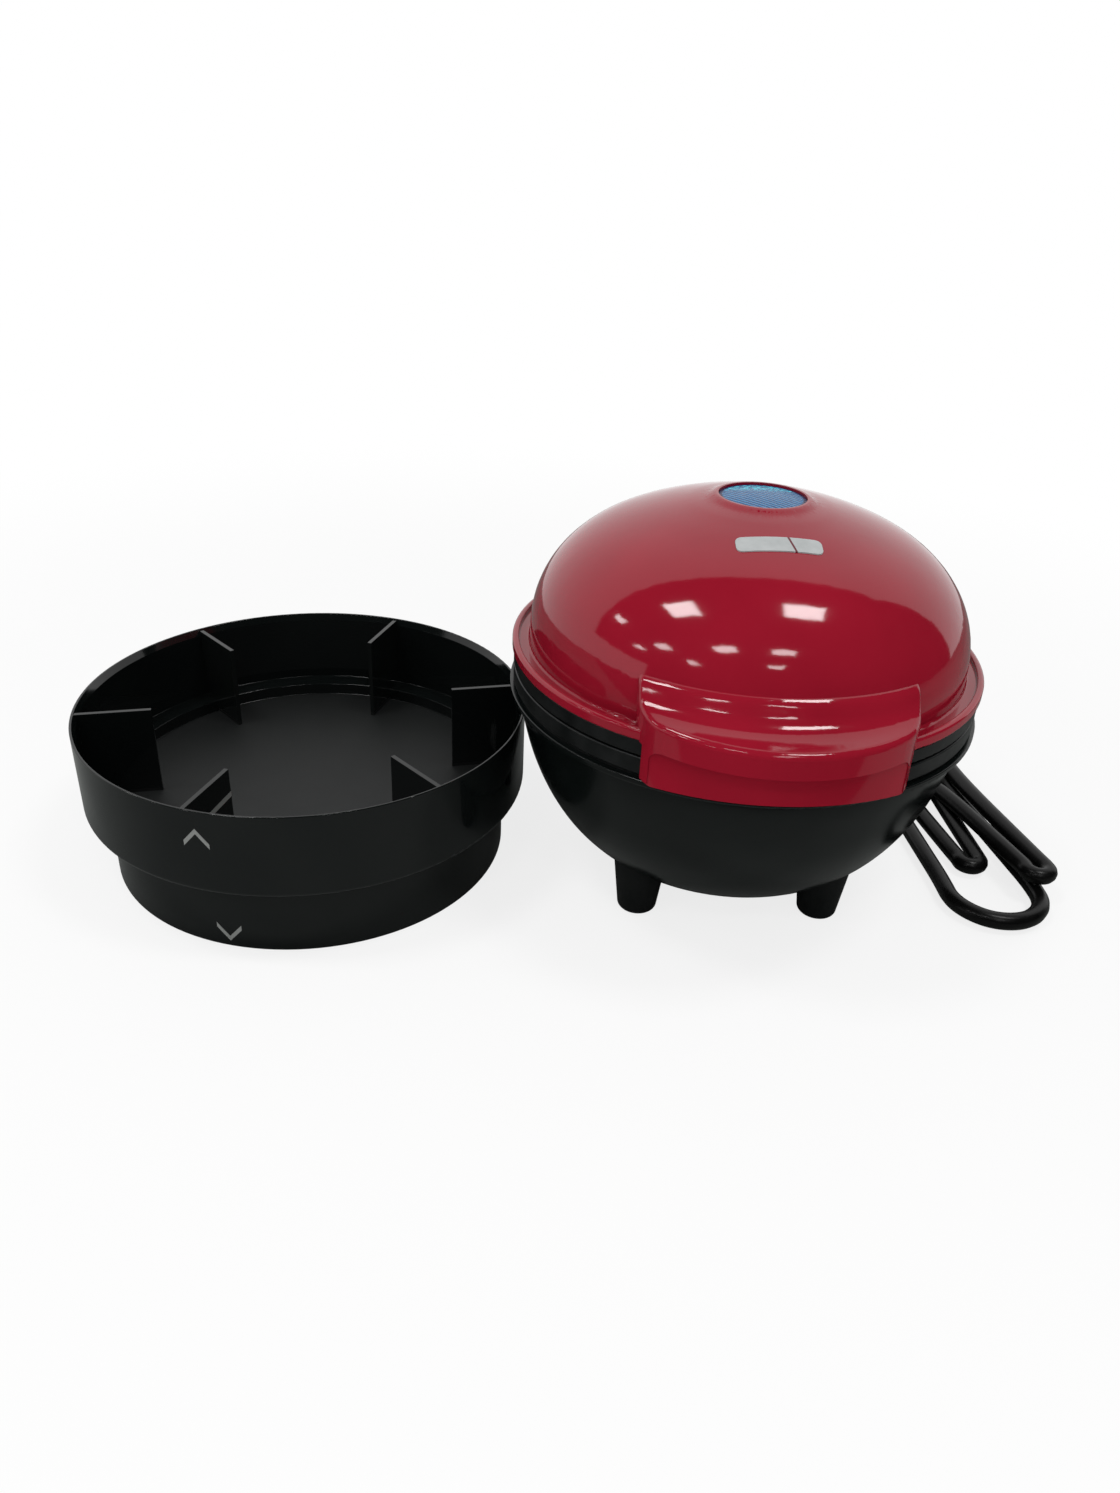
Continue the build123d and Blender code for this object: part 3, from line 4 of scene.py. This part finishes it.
import bpy
from mathutils import Matrix, Vector


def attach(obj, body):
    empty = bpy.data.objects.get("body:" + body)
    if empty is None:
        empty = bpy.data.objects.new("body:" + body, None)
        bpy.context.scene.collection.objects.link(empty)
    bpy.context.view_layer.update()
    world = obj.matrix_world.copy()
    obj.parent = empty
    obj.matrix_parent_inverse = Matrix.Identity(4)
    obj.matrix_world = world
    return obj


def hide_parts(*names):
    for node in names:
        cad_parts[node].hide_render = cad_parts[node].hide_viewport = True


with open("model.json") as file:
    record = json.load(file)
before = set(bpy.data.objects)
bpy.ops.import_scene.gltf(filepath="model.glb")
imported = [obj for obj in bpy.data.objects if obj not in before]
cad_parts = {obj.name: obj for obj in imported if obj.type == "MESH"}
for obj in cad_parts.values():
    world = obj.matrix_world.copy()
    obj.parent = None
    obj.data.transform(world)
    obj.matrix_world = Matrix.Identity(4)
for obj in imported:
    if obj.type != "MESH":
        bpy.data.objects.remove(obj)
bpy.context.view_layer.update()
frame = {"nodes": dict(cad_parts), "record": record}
nodes = frame["nodes"]

# Places shared with the CAD model, in metres
maker = Vector((0.061523, -0.00405, 0.0))
cutter = Vector((-0.061523, 0.00265, 0.0))

# Camera: where the photograph was taken from
camera_place = Vector((0.00426, -0.28197, 0.19262))
camera_heading = math.radians(-1.7)
camera_pitch = math.radians(29.36)
camera_roll = math.radians(2.78)

camera_data = bpy.data.cameras.new("camera")
camera_data.lens = 26.524
camera_data.sensor_width = 36.0
camera_data.sensor_fit = "AUTO"
camera_data.clip_start = 0.01
camera = bpy.data.objects.new("camera", camera_data)
camera.matrix_world = (
    Matrix.Translation(camera_place)
    @ Matrix.Rotation(camera_heading, 4, "Z")
    @ Matrix.Rotation(math.pi / 2 - camera_pitch, 4, "X")
    @ Matrix.Rotation(camera_roll, 4, "Z")
)
bpy.context.collection.objects.link(camera)
bpy.context.scene.camera = camera


# Cord: control points of one smooth line, in metres from the maker's axis
cord_diameter = 0.005
cord_route = [
    # From the strain relief round behind the maker and up onto the hank
    (0.0, 0.0795, 0.036), (0.0, 0.0925, 0.036), (0.003, 0.105, 0.0324), (0.011, 0.1155, 0.026),
    (0.024, 0.1215, 0.0195), (0.038, 0.121, 0.014), (0.051, 0.1155, 0.0106), (0.0615, 0.1065, 0.0092),
    (0.0675, 0.096, 0.0088), (0.0705, 0.084, 0.0088), (0.0805, 0.072, 0.0088), (0.0843, 0.06, 0.0088),
    # The fold that lies on top of the big loop, and down into the middle strand
    (0.0843, 0.038, 0.0088), (0.09454, -0.01132, 0.0088), (0.0953, -0.01397, 0.0088),
    (0.0953, -0.01663, 0.0088), (0.09343, -0.0185, 0.0088), (0.09077, -0.0185, 0.0088),
    (0.0889, -0.01663, 0.0088), (0.0889, -0.01397, 0.0088), (0.08817, -0.01132, 0.0088),
    (0.0772, 0.0285, 0.0088), (0.0738, 0.036, 0.0066), (0.073, 0.0425, 0.0032),
    # The short fold at the back
    (0.073, 0.066, 0.0032), (0.07458, 0.07434, 0.0032), (0.0754, 0.07865, 0.0032),
    (0.0754, 0.08295, 0.0032), (0.07235, 0.086, 0.0032), (0.06805, 0.086, 0.0032), (0.065, 0.08295, 0.0032),
    (0.065, 0.07865, 0.0032), (0.0658, 0.07434, 0.0032), (0.06735, 0.066, 0.0032),
    # The short fold at the front
    (0.06735, 0.038, 0.0032), (0.07352, 0.00062, 0.0032), (0.0742, -0.00219, 0.0032),
    (0.0742, -0.00475, 0.0032), (0.07596, -0.0065, 0.0032), (0.07844, -0.0065, 0.0032),
    (0.0802, -0.00475, 0.0032), (0.0802, -0.00219, 0.0032), (0.0801, 0.00062, 0.0032),
    (0.07865, 0.038, 0.0032),
    # The big loop at the back
    (0.07865, 0.066, 0.0032), (0.08069, 0.0734, 0.0032), (0.0837, 0.08433, 0.0032),
    (0.0837, 0.09527, 0.0032), (0.07597, 0.103, 0.0032), (0.06503, 0.103, 0.0032),
    (0.0573, 0.09527, 0.0032), (0.0573, 0.08433, 0.0032), (0.05992, 0.0734, 0.0032),
    (0.0617, 0.066, 0.0032),
    # The big loop at the front
    (0.0617, 0.038, 0.0032), (0.06454, -0.00317, 0.0032), (0.0653, -0.01419, 0.0032),
    (0.0653, -0.02521, 0.0032), (0.07309, -0.033, 0.0032), (0.08411, -0.033, 0.0032),
    (0.0919, -0.02521, 0.0032), (0.0919, -0.01419, 0.0032), (0.0903, -0.00317, 0.0032),
    (0.0843, 0.038, 0.0032),
    # Away from the hank, round to the plug behind the maker
    (0.0843, 0.06, 0.0032), (0.0895, 0.0735, 0.0032), (0.095, 0.088, 0.0032), (0.096, 0.1, 0.0032),
    (0.0935, 0.113, 0.003), (0.0855, 0.1245, 0.003), (0.073, 0.1325, 0.0034), (0.059, 0.137, 0.0052),
    (0.046, 0.138, 0.007), (0.034, 0.138, 0.007),
]


def smooth_line(name, points, radius):
    """A round tube of a radius, on a NURBS line that has these control points."""
    data = bpy.data.curves.new(name, "CURVE")
    data.dimensions = "3D"
    data.resolution_u = 10
    data.bevel_depth = 1.0     # so that a point's radius is the tube's own
    data.bevel_resolution = 5
    data.use_fill_caps = True
    spline = data.splines.new("NURBS")
    spline.points.add(len(points) - 1)
    for point, place in zip(spline.points, points):
        point.co = (*place, 1.0)
        point.radius = radius
    spline.order_u = 3
    spline.use_endpoint_u = True
    line = bpy.data.objects.new(name, data)
    bpy.context.collection.objects.link(line)
    return line


cord_places = [maker + Vector(point) for point in cord_route]
power_cord = smooth_line("power_cord", cord_places, cord_diameter / 2)
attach(power_cord, "base")
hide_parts("cord", "cord_hank", "cord_tail")


# Materials
def new_material(name):
    """A material with its shader and its object coordinates."""
    material = bpy.data.materials.new(name)
    material.use_nodes = True
    tree = material.node_tree
    shader = tree.nodes["Principled BSDF"]
    place = tree.nodes.new("ShaderNodeTexCoord")
    return material, tree, shader, place.outputs["Object"]


def calc(tree, operation, *values):
    """A sum of sockets and numbers."""
    node = tree.nodes.new("ShaderNodeMath")
    node.operation = operation
    for socket, value in zip(node.inputs, values):
        if isinstance(value, (int, float)):
            socket.default_value = value
        else:
            tree.links.new(value, socket)
    return node.outputs[0]


def along(tree, place, origin, direction):
    """How far a point lies from an origin along a direction."""
    shift = tree.nodes.new("ShaderNodeVectorMath")
    shift.operation = "SUBTRACT"
    shift.inputs[1].default_value = origin
    tree.links.new(place, shift.inputs[0])
    dot = tree.nodes.new("ShaderNodeVectorMath")
    dot.operation = "DOT_PRODUCT"
    dot.inputs[1].default_value = direction
    tree.links.new(shift.outputs["Vector"], dot.inputs[0])
    return dot.outputs["Value"]


def off_axis(tree, place, centre):
    """How far a point lies from an upright line."""
    across = along(tree, place, centre, (1.0, 0.0, 0.0))
    deep = along(tree, place, centre, (0.0, 1.0, 0.0))
    squares = calc(tree, "ADD", calc(tree, "MULTIPLY", across, across), calc(tree, "MULTIPLY", deep, deep))
    return calc(tree, "SQRT", squares)


def step(tree, value, low, high):
    """A value turned into a soft step from 0 at low to 1 at high."""
    node = tree.nodes.new("ShaderNodeMapRange")
    node.interpolation_type = "SMOOTHSTEP"
    node.inputs["From Min"].default_value = low
    node.inputs["From Max"].default_value = high
    tree.links.new(value, node.inputs["Value"])
    return node.outputs["Result"]


def noise(tree, place, scale, detail=3.0, roughness=0.5):
    """A noise pattern of a scale in grains per metre."""
    node = tree.nodes.new("ShaderNodeTexNoise")
    node.inputs["Scale"].default_value = scale
    node.inputs["Detail"].default_value = detail
    node.inputs["Roughness"].default_value = roughness
    tree.links.new(place, node.inputs["Vector"])
    return node.outputs["Fac"]


speck_cells = 260.0            # per metre
speck_size = 0.00022
speck_core_share = 0.5         # of a speck's size, inside which it is solid
speck_chance_edge = 0.01
speck_colour = (0.3, 0.3, 0.28)
speck_roughness = 0.5


def dust(tree, place, share):
    """Tiny specks: round dots in a share of the cells of a pattern."""
    cells = tree.nodes.new("ShaderNodeTexVoronoi")
    cells.inputs["Scale"].default_value = speck_cells
    tree.links.new(place, cells.inputs["Vector"])
    reach = speck_size * speck_cells
    dots = step(tree, cells.outputs["Distance"], reach, reach * speck_core_share)
    chance = calc(tree, "MULTIPLY", cells.outputs["Color"], 1.0)
    kept = step(tree, chance, 1.0 - share, 1.0 - share + speck_chance_edge)
    return calc(tree, "MULTIPLY", dots, kept)


def blend_colours(tree, factor, dark, light, low=0.35, high=0.65):
    """Colours that run from dark to light with a pattern."""
    ramp = tree.nodes.new("ShaderNodeValToRGB")
    ramp.color_ramp.elements[0].position = low
    ramp.color_ramp.elements[0].color = (*dark, 1.0)
    ramp.color_ramp.elements[1].position = high
    ramp.color_ramp.elements[1].color = (*light, 1.0)
    tree.links.new(factor, ramp.inputs["Fac"])
    return ramp.outputs["Color"]


def paint_over(tree, mask, under, colour):
    """One colour laid over another where a mask is 1."""
    mix = tree.nodes.new("ShaderNodeMix")
    mix.data_type = "RGBA"
    tree.links.new(mask, mix.inputs["Factor"])
    tree.links.new(under, mix.inputs["A"])
    mix.inputs["B"].default_value = (*colour, 1.0)
    return mix.outputs["Result"]


def spread(tree, factor, low, high):
    """A pattern's values moved to run from low to high."""
    node = tree.nodes.new("ShaderNodeMapRange")
    node.inputs["To Min"].default_value = low
    node.inputs["To Max"].default_value = high
    tree.links.new(factor, node.inputs["Value"])
    return node.outputs["Result"]


def raise_surface(tree, shader, height, strength, distance, under=None):
    """Relief from a height pattern, on top of any relief already made."""
    bump = tree.nodes.new("ShaderNodeBump")
    bump.inputs["Strength"].default_value = strength
    bump.inputs["Distance"].default_value = distance
    tree.links.new(height, bump.inputs["Height"])
    if under is not None:
        tree.links.new(under, bump.inputs["Normal"])
    tree.links.new(bump.outputs["Normal"], shader.inputs["Normal"])
    return bump.outputs["Normal"]


print_colour = (0.23, 0.24, 0.23)
print_roughness = 0.35
matt_roughness = 0.5
colour_grain_share = 0.1       # of a surface's grain
roughness_grain_share = 0.35
relief_grain_share = 2
relief_strength = 0.4


def surface(
    name, dark, light, grain, roughness, relief, metallic=0.0, ior=1.5, specks=0.0, marks=None, matt=None
):
    """A moulded, painted or metal surface: colour that drifts, uneven roughness, a fine relief and dust."""
    material, tree, shader, place = new_material(name)
    colour = blend_colours(tree, noise(tree, place, grain * colour_grain_share), dark, light)
    rough = spread(tree, noise(tree, place, grain * roughness_grain_share, detail=4.0), *roughness)
    if specks:
        dots = dust(tree, place, specks)
        colour = paint_over(tree, dots, colour, speck_colour)
        rough = calc(tree, "ADD", rough, calc(tree, "MULTIPLY", dots, speck_roughness))
    if marks is not None:
        print_mask = marks(tree, place)
        colour = paint_over(tree, print_mask, colour, print_colour)
        rough = calc(tree, "ADD", rough, calc(tree, "MULTIPLY", print_mask, print_roughness))
    if matt is not None:
        rough = calc(tree, "ADD", rough, calc(tree, "MULTIPLY", matt(tree, place), matt_roughness))
    tree.links.new(colour, shader.inputs["Base Color"])
    tree.links.new(rough, shader.inputs["Roughness"])
    shader.inputs["Metallic"].default_value = metallic
    shader.inputs["IOR"].default_value = ior
    raise_surface(tree, shader, noise(tree, place, grain * relief_grain_share), relief_strength, relief)
    return material


# Printed angle marks on the cutter: heading in degrees from the front, and height
cutter_marks = ((-13.9, 0.0386), (-12.0, 0.0039))
mark_slope = 1.15
mark_rise = 0.0014             # of the tip above the mark's middle
mark_line_edge = (0.00085, 0.0007)
mark_side_edge = (0.0035, 0.0034)
mark_front_edge = (0.0, 0.001)


def chevron(tree, place, heading, height, pointing):
    """1 on an angle mark on the cutter's wall."""
    turn = math.radians(heading)
    outward = Vector((math.sin(turn), -math.cos(turn), 0.0))
    sideways = Vector((math.cos(turn), math.sin(turn), 0.0))
    middle = cutter + Vector((0.0, 0.0, height))
    side = calc(tree, "ABSOLUTE", along(tree, place, middle, sideways))
    up = along(tree, place, middle, (0.0, 0.0, pointing))
    arm = calc(tree, "ADD", calc(tree, "SUBTRACT", up, mark_rise), calc(tree, "MULTIPLY", side, mark_slope))
    line = step(tree, calc(tree, "ABSOLUTE", arm), *mark_line_edge)
    inside = step(tree, side, *mark_side_edge)
    front = step(tree, along(tree, place, cutter, outward), *mark_front_edge)
    return calc(tree, "MULTIPLY", calc(tree, "MULTIPLY", line, inside), front)


def cutter_print(tree, place):
    """One mark for the wide cup and one for the narrow cup."""
    wide = chevron(tree, place, *cutter_marks[0], 1.0)
    narrow = chevron(tree, place, *cutter_marks[1], -1.0)
    return calc(tree, "MAXIMUM", wide, narrow)


# The matt floor between the cutter's cups: soft steps in height and away from the axis
web_low = (0.0155, 0.0165)
web_high = (0.0205, 0.0198)
web_edge = (0.0558, 0.0552)


def cutter_floor(tree, place):
    """1 on the floor between the cutter's two cups, which is moulded matt."""
    height = along(tree, place, cutter, (0.0, 0.0, 1.0))
    level = calc(tree, "MULTIPLY", step(tree, height, *web_low), step(tree, height, *web_high))
    return calc(tree, "MULTIPLY", level, step(tree, off_axis(tree, place, cutter), *web_edge))


# Indicator lens: patterns in grains per metre, places in metres from its middle
lens_rib_scale = 330.0
lens_rib_edge = (0.25, 0.75)
lens_ribs = ((0.003, 0.035, 0.14), (0.03, 0.2, 0.42))
lens_blotch_scale = 420.0
lens_blotch_edge = (0.58, 0.72)
lens_blotch = (0.02, 0.09, 0.25)
# Painted highlight: the next lines set bright glints that are painted into the lens's colour in a band near
# its back edge. Their noise also gives a fine relief.
lens_glint_scale = 900.0
lens_painted_highlight_edge = (0.46, 0.56)
lens_painted_highlight = (0.07, 0.62, 0.8)
lens_painted_highlight_front = (0.003, 0.0065)
lens_painted_highlight_back = (0.0108, 0.0095)
lens_rim = (0.003, 0.01, 0.06)
lens_rim_edge = (0.0102, 0.0106)
lens_roughness = (0.06, 0.3)
lens_ior = 1.22
lens_relief = 0.0001


def lens_material():
    """Blue ribbed glass, with a painted highlight of bright glints at its back edge and dark round its rim.
    """
    material, tree, shader, place = new_material("blue_lens")
    ribs = tree.nodes.new("ShaderNodeTexWave")
    ribs.bands_direction = "DIAGONAL"
    ribs.inputs["Scale"].default_value = lens_rib_scale
    ribs.inputs["Distortion"].default_value = 1.6
    ribs.inputs["Detail"].default_value = 2.0
    ribs.inputs["Detail Scale"].default_value = 2.0
    tree.links.new(place, ribs.inputs["Vector"])
    colour = blend_colours(tree, ribs.outputs["Fac"], *lens_ribs, *lens_rib_edge)
    blotches = noise(tree, place, lens_blotch_scale, detail=4.0, roughness=0.7)
    colour = paint_over(tree, step(tree, blotches, *lens_blotch_edge), colour, lens_blotch)
    # Painted highlight: bright glints painted into the colour in a band near the back edge. The same noise
    # also raises a fine relief.
    highlight_and_relief_noise = noise(tree, place, lens_glint_scale, detail=5.0, roughness=0.75)
    deep = along(tree, place, maker, (0.0, 1.0, 0.0))
    highlight_band = calc(tree, "MULTIPLY", step(tree, deep, *lens_painted_highlight_front), step(tree, deep, *lens_painted_highlight_back))
    painted_highlight = calc(tree, "MULTIPLY", step(tree, highlight_and_relief_noise, *lens_painted_highlight_edge), highlight_band)
    colour = paint_over(tree, painted_highlight, colour, lens_painted_highlight)
    colour = paint_over(tree, step(tree, off_axis(tree, place, maker), *lens_rim_edge), colour, lens_rim)
    tree.links.new(colour, shader.inputs["Base Color"])
    tree.links.new(spread(tree, blotches, *lens_roughness), shader.inputs["Roughness"])
    shader.inputs["IOR"].default_value = lens_ior
    relief = raise_surface(tree, shader, ribs.outputs["Fac"], strength=0.5, distance=lens_relief)
    raise_surface(tree, shader, highlight_and_relief_noise, strength=0.3, distance=lens_relief, under=relief)
    return material


# Badge: its foil, and the line that splits it, by its middle from the maker's axis, slant and half width
badge_foil = ((0.4, 0.42, 0.42), (0.46, 0.48, 0.48))
badge_foil_scale = 300.0
badge_roughness = (0.32, 0.45)
badge_roughness_scale = 2500.0
badge_line_place = (0.0031, -0.0268, 0.106)
badge_line_slant = 0.25
badge_line_edge = (0.00032, 0.00022)
badge_line_colour = (0.12, 0.008, 0.016)


def badge_material():
    """Pale silver foil with a thin slanted line that splits the plate in two."""
    material, tree, shader, place = new_material("badge_silver")
    colour = blend_colours(tree, noise(tree, place, badge_foil_scale), *badge_foil)
    middle = maker + Vector(badge_line_place)
    slant = Vector((1.0, badge_line_slant, 0.0)).normalized()
    line = step(tree, calc(tree, "ABSOLUTE", along(tree, place, middle, slant)), *badge_line_edge)
    tree.links.new(paint_over(tree, line, colour, badge_line_colour), shader.inputs["Base Color"])
    rough = spread(tree, noise(tree, place, badge_roughness_scale), *badge_roughness)
    tree.links.new(rough, shader.inputs["Roughness"])
    shader.inputs["Metallic"].default_value = 0.2
    return material


# Looks of the plain surfaces: grain in grains per metre, relief in metres
plain_looks = {
    "red_enamel": dict(
        dark=(0.262, 0.0068, 0.019), light=(0.298, 0.0082, 0.0225), grain=300, roughness=(0.06, 0.1),
        relief=0.000006, ior=1.45, specks=0.01,
    ),
    "gloss_black": dict(
        dark=(0.0024, 0.0036, 0.0034), light=(0.0042, 0.0058, 0.0055), grain=300, roughness=(0.14, 0.22),
        relief=0.00001, ior=1.36, specks=0.012,
    ),
    "black_plastic": dict(
        dark=(0.004, 0.005, 0.005), light=(0.009, 0.01, 0.01), grain=1500, roughness=(0.3, 0.45),
        relief=0.00003, ior=1.36, specks=0.02,
    ),
    "foot_plastic": dict(
        dark=(0.003, 0.004, 0.004), light=(0.006, 0.007, 0.007), grain=1500, roughness=(0.45, 0.6),
        relief=0.00003, ior=1.3,
    ),
    "cutter_plastic": dict(
        dark=(0.0035, 0.0046, 0.0045), light=(0.0048, 0.006, 0.0058), grain=300, roughness=(0.05, 0.1),
        relief=0.000004, ior=1.42, specks=0.012, marks=cutter_print, matt=cutter_floor,
    ),
    "cooking_plate": dict(
        dark=(0.02, 0.02, 0.021), light=(0.035, 0.034, 0.034), grain=2500, roughness=(0.35, 0.5),
        relief=0.00002,
    ),
    "heater_steel": dict(
        dark=(0.22, 0.2, 0.18), light=(0.4, 0.38, 0.36), grain=800, roughness=(0.35, 0.5), relief=0.00002,
        metallic=1.0,
    ),
    "sheet_steel": dict(
        dark=(0.5, 0.5, 0.5), light=(0.62, 0.62, 0.62), grain=900, roughness=(0.25, 0.4), relief=0.00002,
        metallic=1.0,
    ),
    "screw_steel": dict(
        dark=(0.45, 0.45, 0.45), light=(0.6, 0.6, 0.6), grain=900, roughness=(0.2, 0.35), relief=0.00001,
        metallic=1.0,
    ),
    "inner_plastic": dict(
        dark=(0.03, 0.028, 0.025), light=(0.06, 0.055, 0.05), grain=900, roughness=(0.45, 0.6),
        relief=0.00002,
    ),
    "lamp_glass": dict(
        dark=(0.7, 0.35, 0.15), light=(0.9, 0.55, 0.3), grain=900, roughness=(0.08, 0.15), relief=0.00001,
    ),
    "lead_sleeve": dict(
        dark=(0.5, 0.48, 0.4), light=(0.65, 0.62, 0.55), grain=1500, roughness=(0.5, 0.7), relief=0.00002,
    ),
    "cord_rubber": dict(
        dark=(0.002, 0.002, 0.002), light=(0.004, 0.004, 0.004), grain=900, roughness=(0.26, 0.36),
        relief=0.00002, ior=1.3,
    ),
    "tie_plastic": dict(
        dark=(0.006, 0.006, 0.006), light=(0.012, 0.012, 0.012), grain=900, roughness=(0.35, 0.5),
        relief=0.00002,
    ),
    "plug_plastic": dict(
        dark=(0.008, 0.008, 0.008), light=(0.015, 0.015, 0.015), grain=900, roughness=(0.4, 0.55),
        relief=0.00002,
    ),
    "blade_brass": dict(
        dark=(0.6, 0.5, 0.28), light=(0.75, 0.64, 0.38), grain=900, roughness=(0.18, 0.3), relief=0.00001,
        metallic=1.0,
    ),
}
materials = {slot: surface(slot, **look) for slot, look in plain_looks.items()}
materials["badge_silver"] = badge_material()
materials["blue_lens"] = lens_material()
for entry in frame["record"]["subparts"]:
    slots = nodes[entry["node"]].data.materials
    slots.clear()
    slots.append(materials[entry["material_slot"]])
power_cord.data.materials.append(materials["cord_rubber"])


# Floor and backdrop: white to the camera and in reflections, a plain level for the lighting
def seen_directly(tree):
    """1 for what the camera, a reflection or a view through glass sees, and 0 for lighting."""
    path = tree.nodes.new("ShaderNodeLightPath")
    seen = calc(tree, "ADD", path.outputs["Is Camera Ray"], path.outputs["Is Glossy Ray"])
    return calc(tree, "MINIMUM", calc(tree, "ADD", seen, path.outputs["Is Transmission Ray"]), 1.0)


paper_side = 6.0
paper_drop = 0.0001            # below the feet
paper_colour = (0.9, 0.9, 0.9)
paper_roughness = 0.9
paper_white_share = 0.8        # near the object
paper_fade = (0.14, 0.5)       # distances over which the rest turns white


def floor_material():
    """Pale paper that keeps the object's shadow and shows as white around it."""
    material, tree, shader, place = new_material("floor_paper")
    shader.inputs["Base Color"].default_value = (*paper_colour, 1.0)
    shader.inputs["Roughness"].default_value = paper_roughness
    white = tree.nodes.new("ShaderNodeEmission")
    mix = tree.nodes.new("ShaderNodeMixShader")
    reach = tree.nodes.new("ShaderNodeVectorMath")
    reach.operation = "LENGTH"
    tree.links.new(place, reach.inputs[0])
    share = spread(tree, step(tree, reach.outputs["Value"], *paper_fade), paper_white_share, 1.0)
    tree.links.new(calc(tree, "MULTIPLY", seen_directly(tree), share), mix.inputs["Fac"])
    tree.links.new(shader.outputs["BSDF"], mix.inputs[1])
    tree.links.new(white.outputs["Emission"], mix.inputs[2])
    tree.links.new(mix.outputs["Shader"], tree.nodes["Material Output"].inputs["Surface"])
    return material


bpy.ops.mesh.primitive_plane_add(size=paper_side, location=(0.0, 0.0, -paper_drop))
floor = bpy.context.object
floor.name = "floor"
floor.data.materials.append(floor_material())

world_light = 0.4
world = bpy.data.worlds.new("studio")
bpy.context.scene.world = world
world.use_nodes = True
background = world.node_tree.nodes["Background"]
background.inputs["Color"].default_value = (1.0, 1.0, 1.0, 1.0)
world_level = spread(world.node_tree, seen_directly(world.node_tree), world_light, 1.0)
world.node_tree.links.new(world_level, background.inputs["Strength"])

# A dark room for the reflections alone: open at the back, where the pale backdrop shows over a grey tabletop
room_left = -3.5
room_right = 0.93
room_front = -2.2
room_back = 0.26
room_height = 1.02
table_front = -0.135
table_back = 0.45
card_height = 0.0002
card_grain = 6.0               # grains per metre


def reflection_card(name, corners, sides, dark, light):
    """A matt card that shows in reflections and nowhere else."""
    material, tree, shader, place = new_material(name)
    colour = blend_colours(tree, noise(tree, place, card_grain), dark, light)
    tree.links.new(colour, shader.inputs["Base Color"])
    shader.inputs["Roughness"].default_value = 1.0
    shader.inputs["Specular IOR Level"].default_value = 0.0
    mesh = bpy.data.meshes.new(name)
    mesh.from_pydata(corners, [], sides)
    mesh.materials.append(material)
    card = bpy.data.objects.new(name, mesh)
    bpy.context.collection.objects.link(card)
    card.visible_camera = False
    card.visible_diffuse = False
    card.visible_transmission = False
    card.visible_volume_scatter = False
    card.visible_shadow = False


room_corners = [
    (room_left, room_front, card_height), (room_right, room_front, card_height),
    (room_right, table_front, card_height), (room_left, table_front, card_height),
    (room_left, room_front, room_height), (room_right, room_front, room_height),
    (room_right, room_back, room_height), (room_left, room_back, room_height),
    (room_right, room_back, card_height), (room_right, table_back, card_height),
    (room_left, table_back, card_height),
]
reflection_card(
    "dark_room", room_corners, [(0, 1, 2, 3), (0, 1, 5, 4), (4, 5, 6, 7), (1, 8, 6, 5)],
    (0.008, 0.008, 0.008), (0.02, 0.02, 0.02),
)
reflection_card("grey_table", room_corners, [(3, 2, 9, 10)], (0.2, 0.21, 0.205), (0.27, 0.28, 0.27))


def lamp(name, place, aim, width, depth, power):
    """A soft rectangular light that faces a place."""
    data = bpy.data.lights.new(name, "AREA")
    data.shape = "RECTANGLE"
    data.size = width
    data.size_y = depth
    data.energy = power
    light = bpy.data.objects.new(name, data)
    light.location = place
    light.rotation_euler = (Vector(aim) - Vector(place)).to_track_quat("-Z", "Y").to_euler()
    light.visible_camera = False
    bpy.context.collection.objects.link(light)


# Ceiling panels: place on the ceiling, width, depth and power
ceiling_height = 1.0
ceiling = [
    (-0.40, -0.13, 0.24, 0.2, 2.8), (0.37, -0.15, 0.26, 0.18, 2.8),
    (-1.33, -0.02, 0.2, 0.2, 1.7), (-1.15, -0.84, 0.26, 0.2, 2.1), (-0.29, -0.87, 0.22, 0.14, 1.4),
    (0.29, -0.88, 0.24, 0.14, 1.4), (-1.0, -1.45, 0.18, 0.2, 1.4), (0.25, -1.39, 0.22, 0.15, 1.3),
    (-1.83, -0.82, 0.26, 0.2, 2.1),
]
for number, (across, deep, width, depth, power) in enumerate(ceiling, 1):
    lamp(f"ceiling_{number}", (across, deep, ceiling_height), (across, deep, 0.0), width, depth, power)

bpy.context.scene.view_settings.view_transform = "Standard"
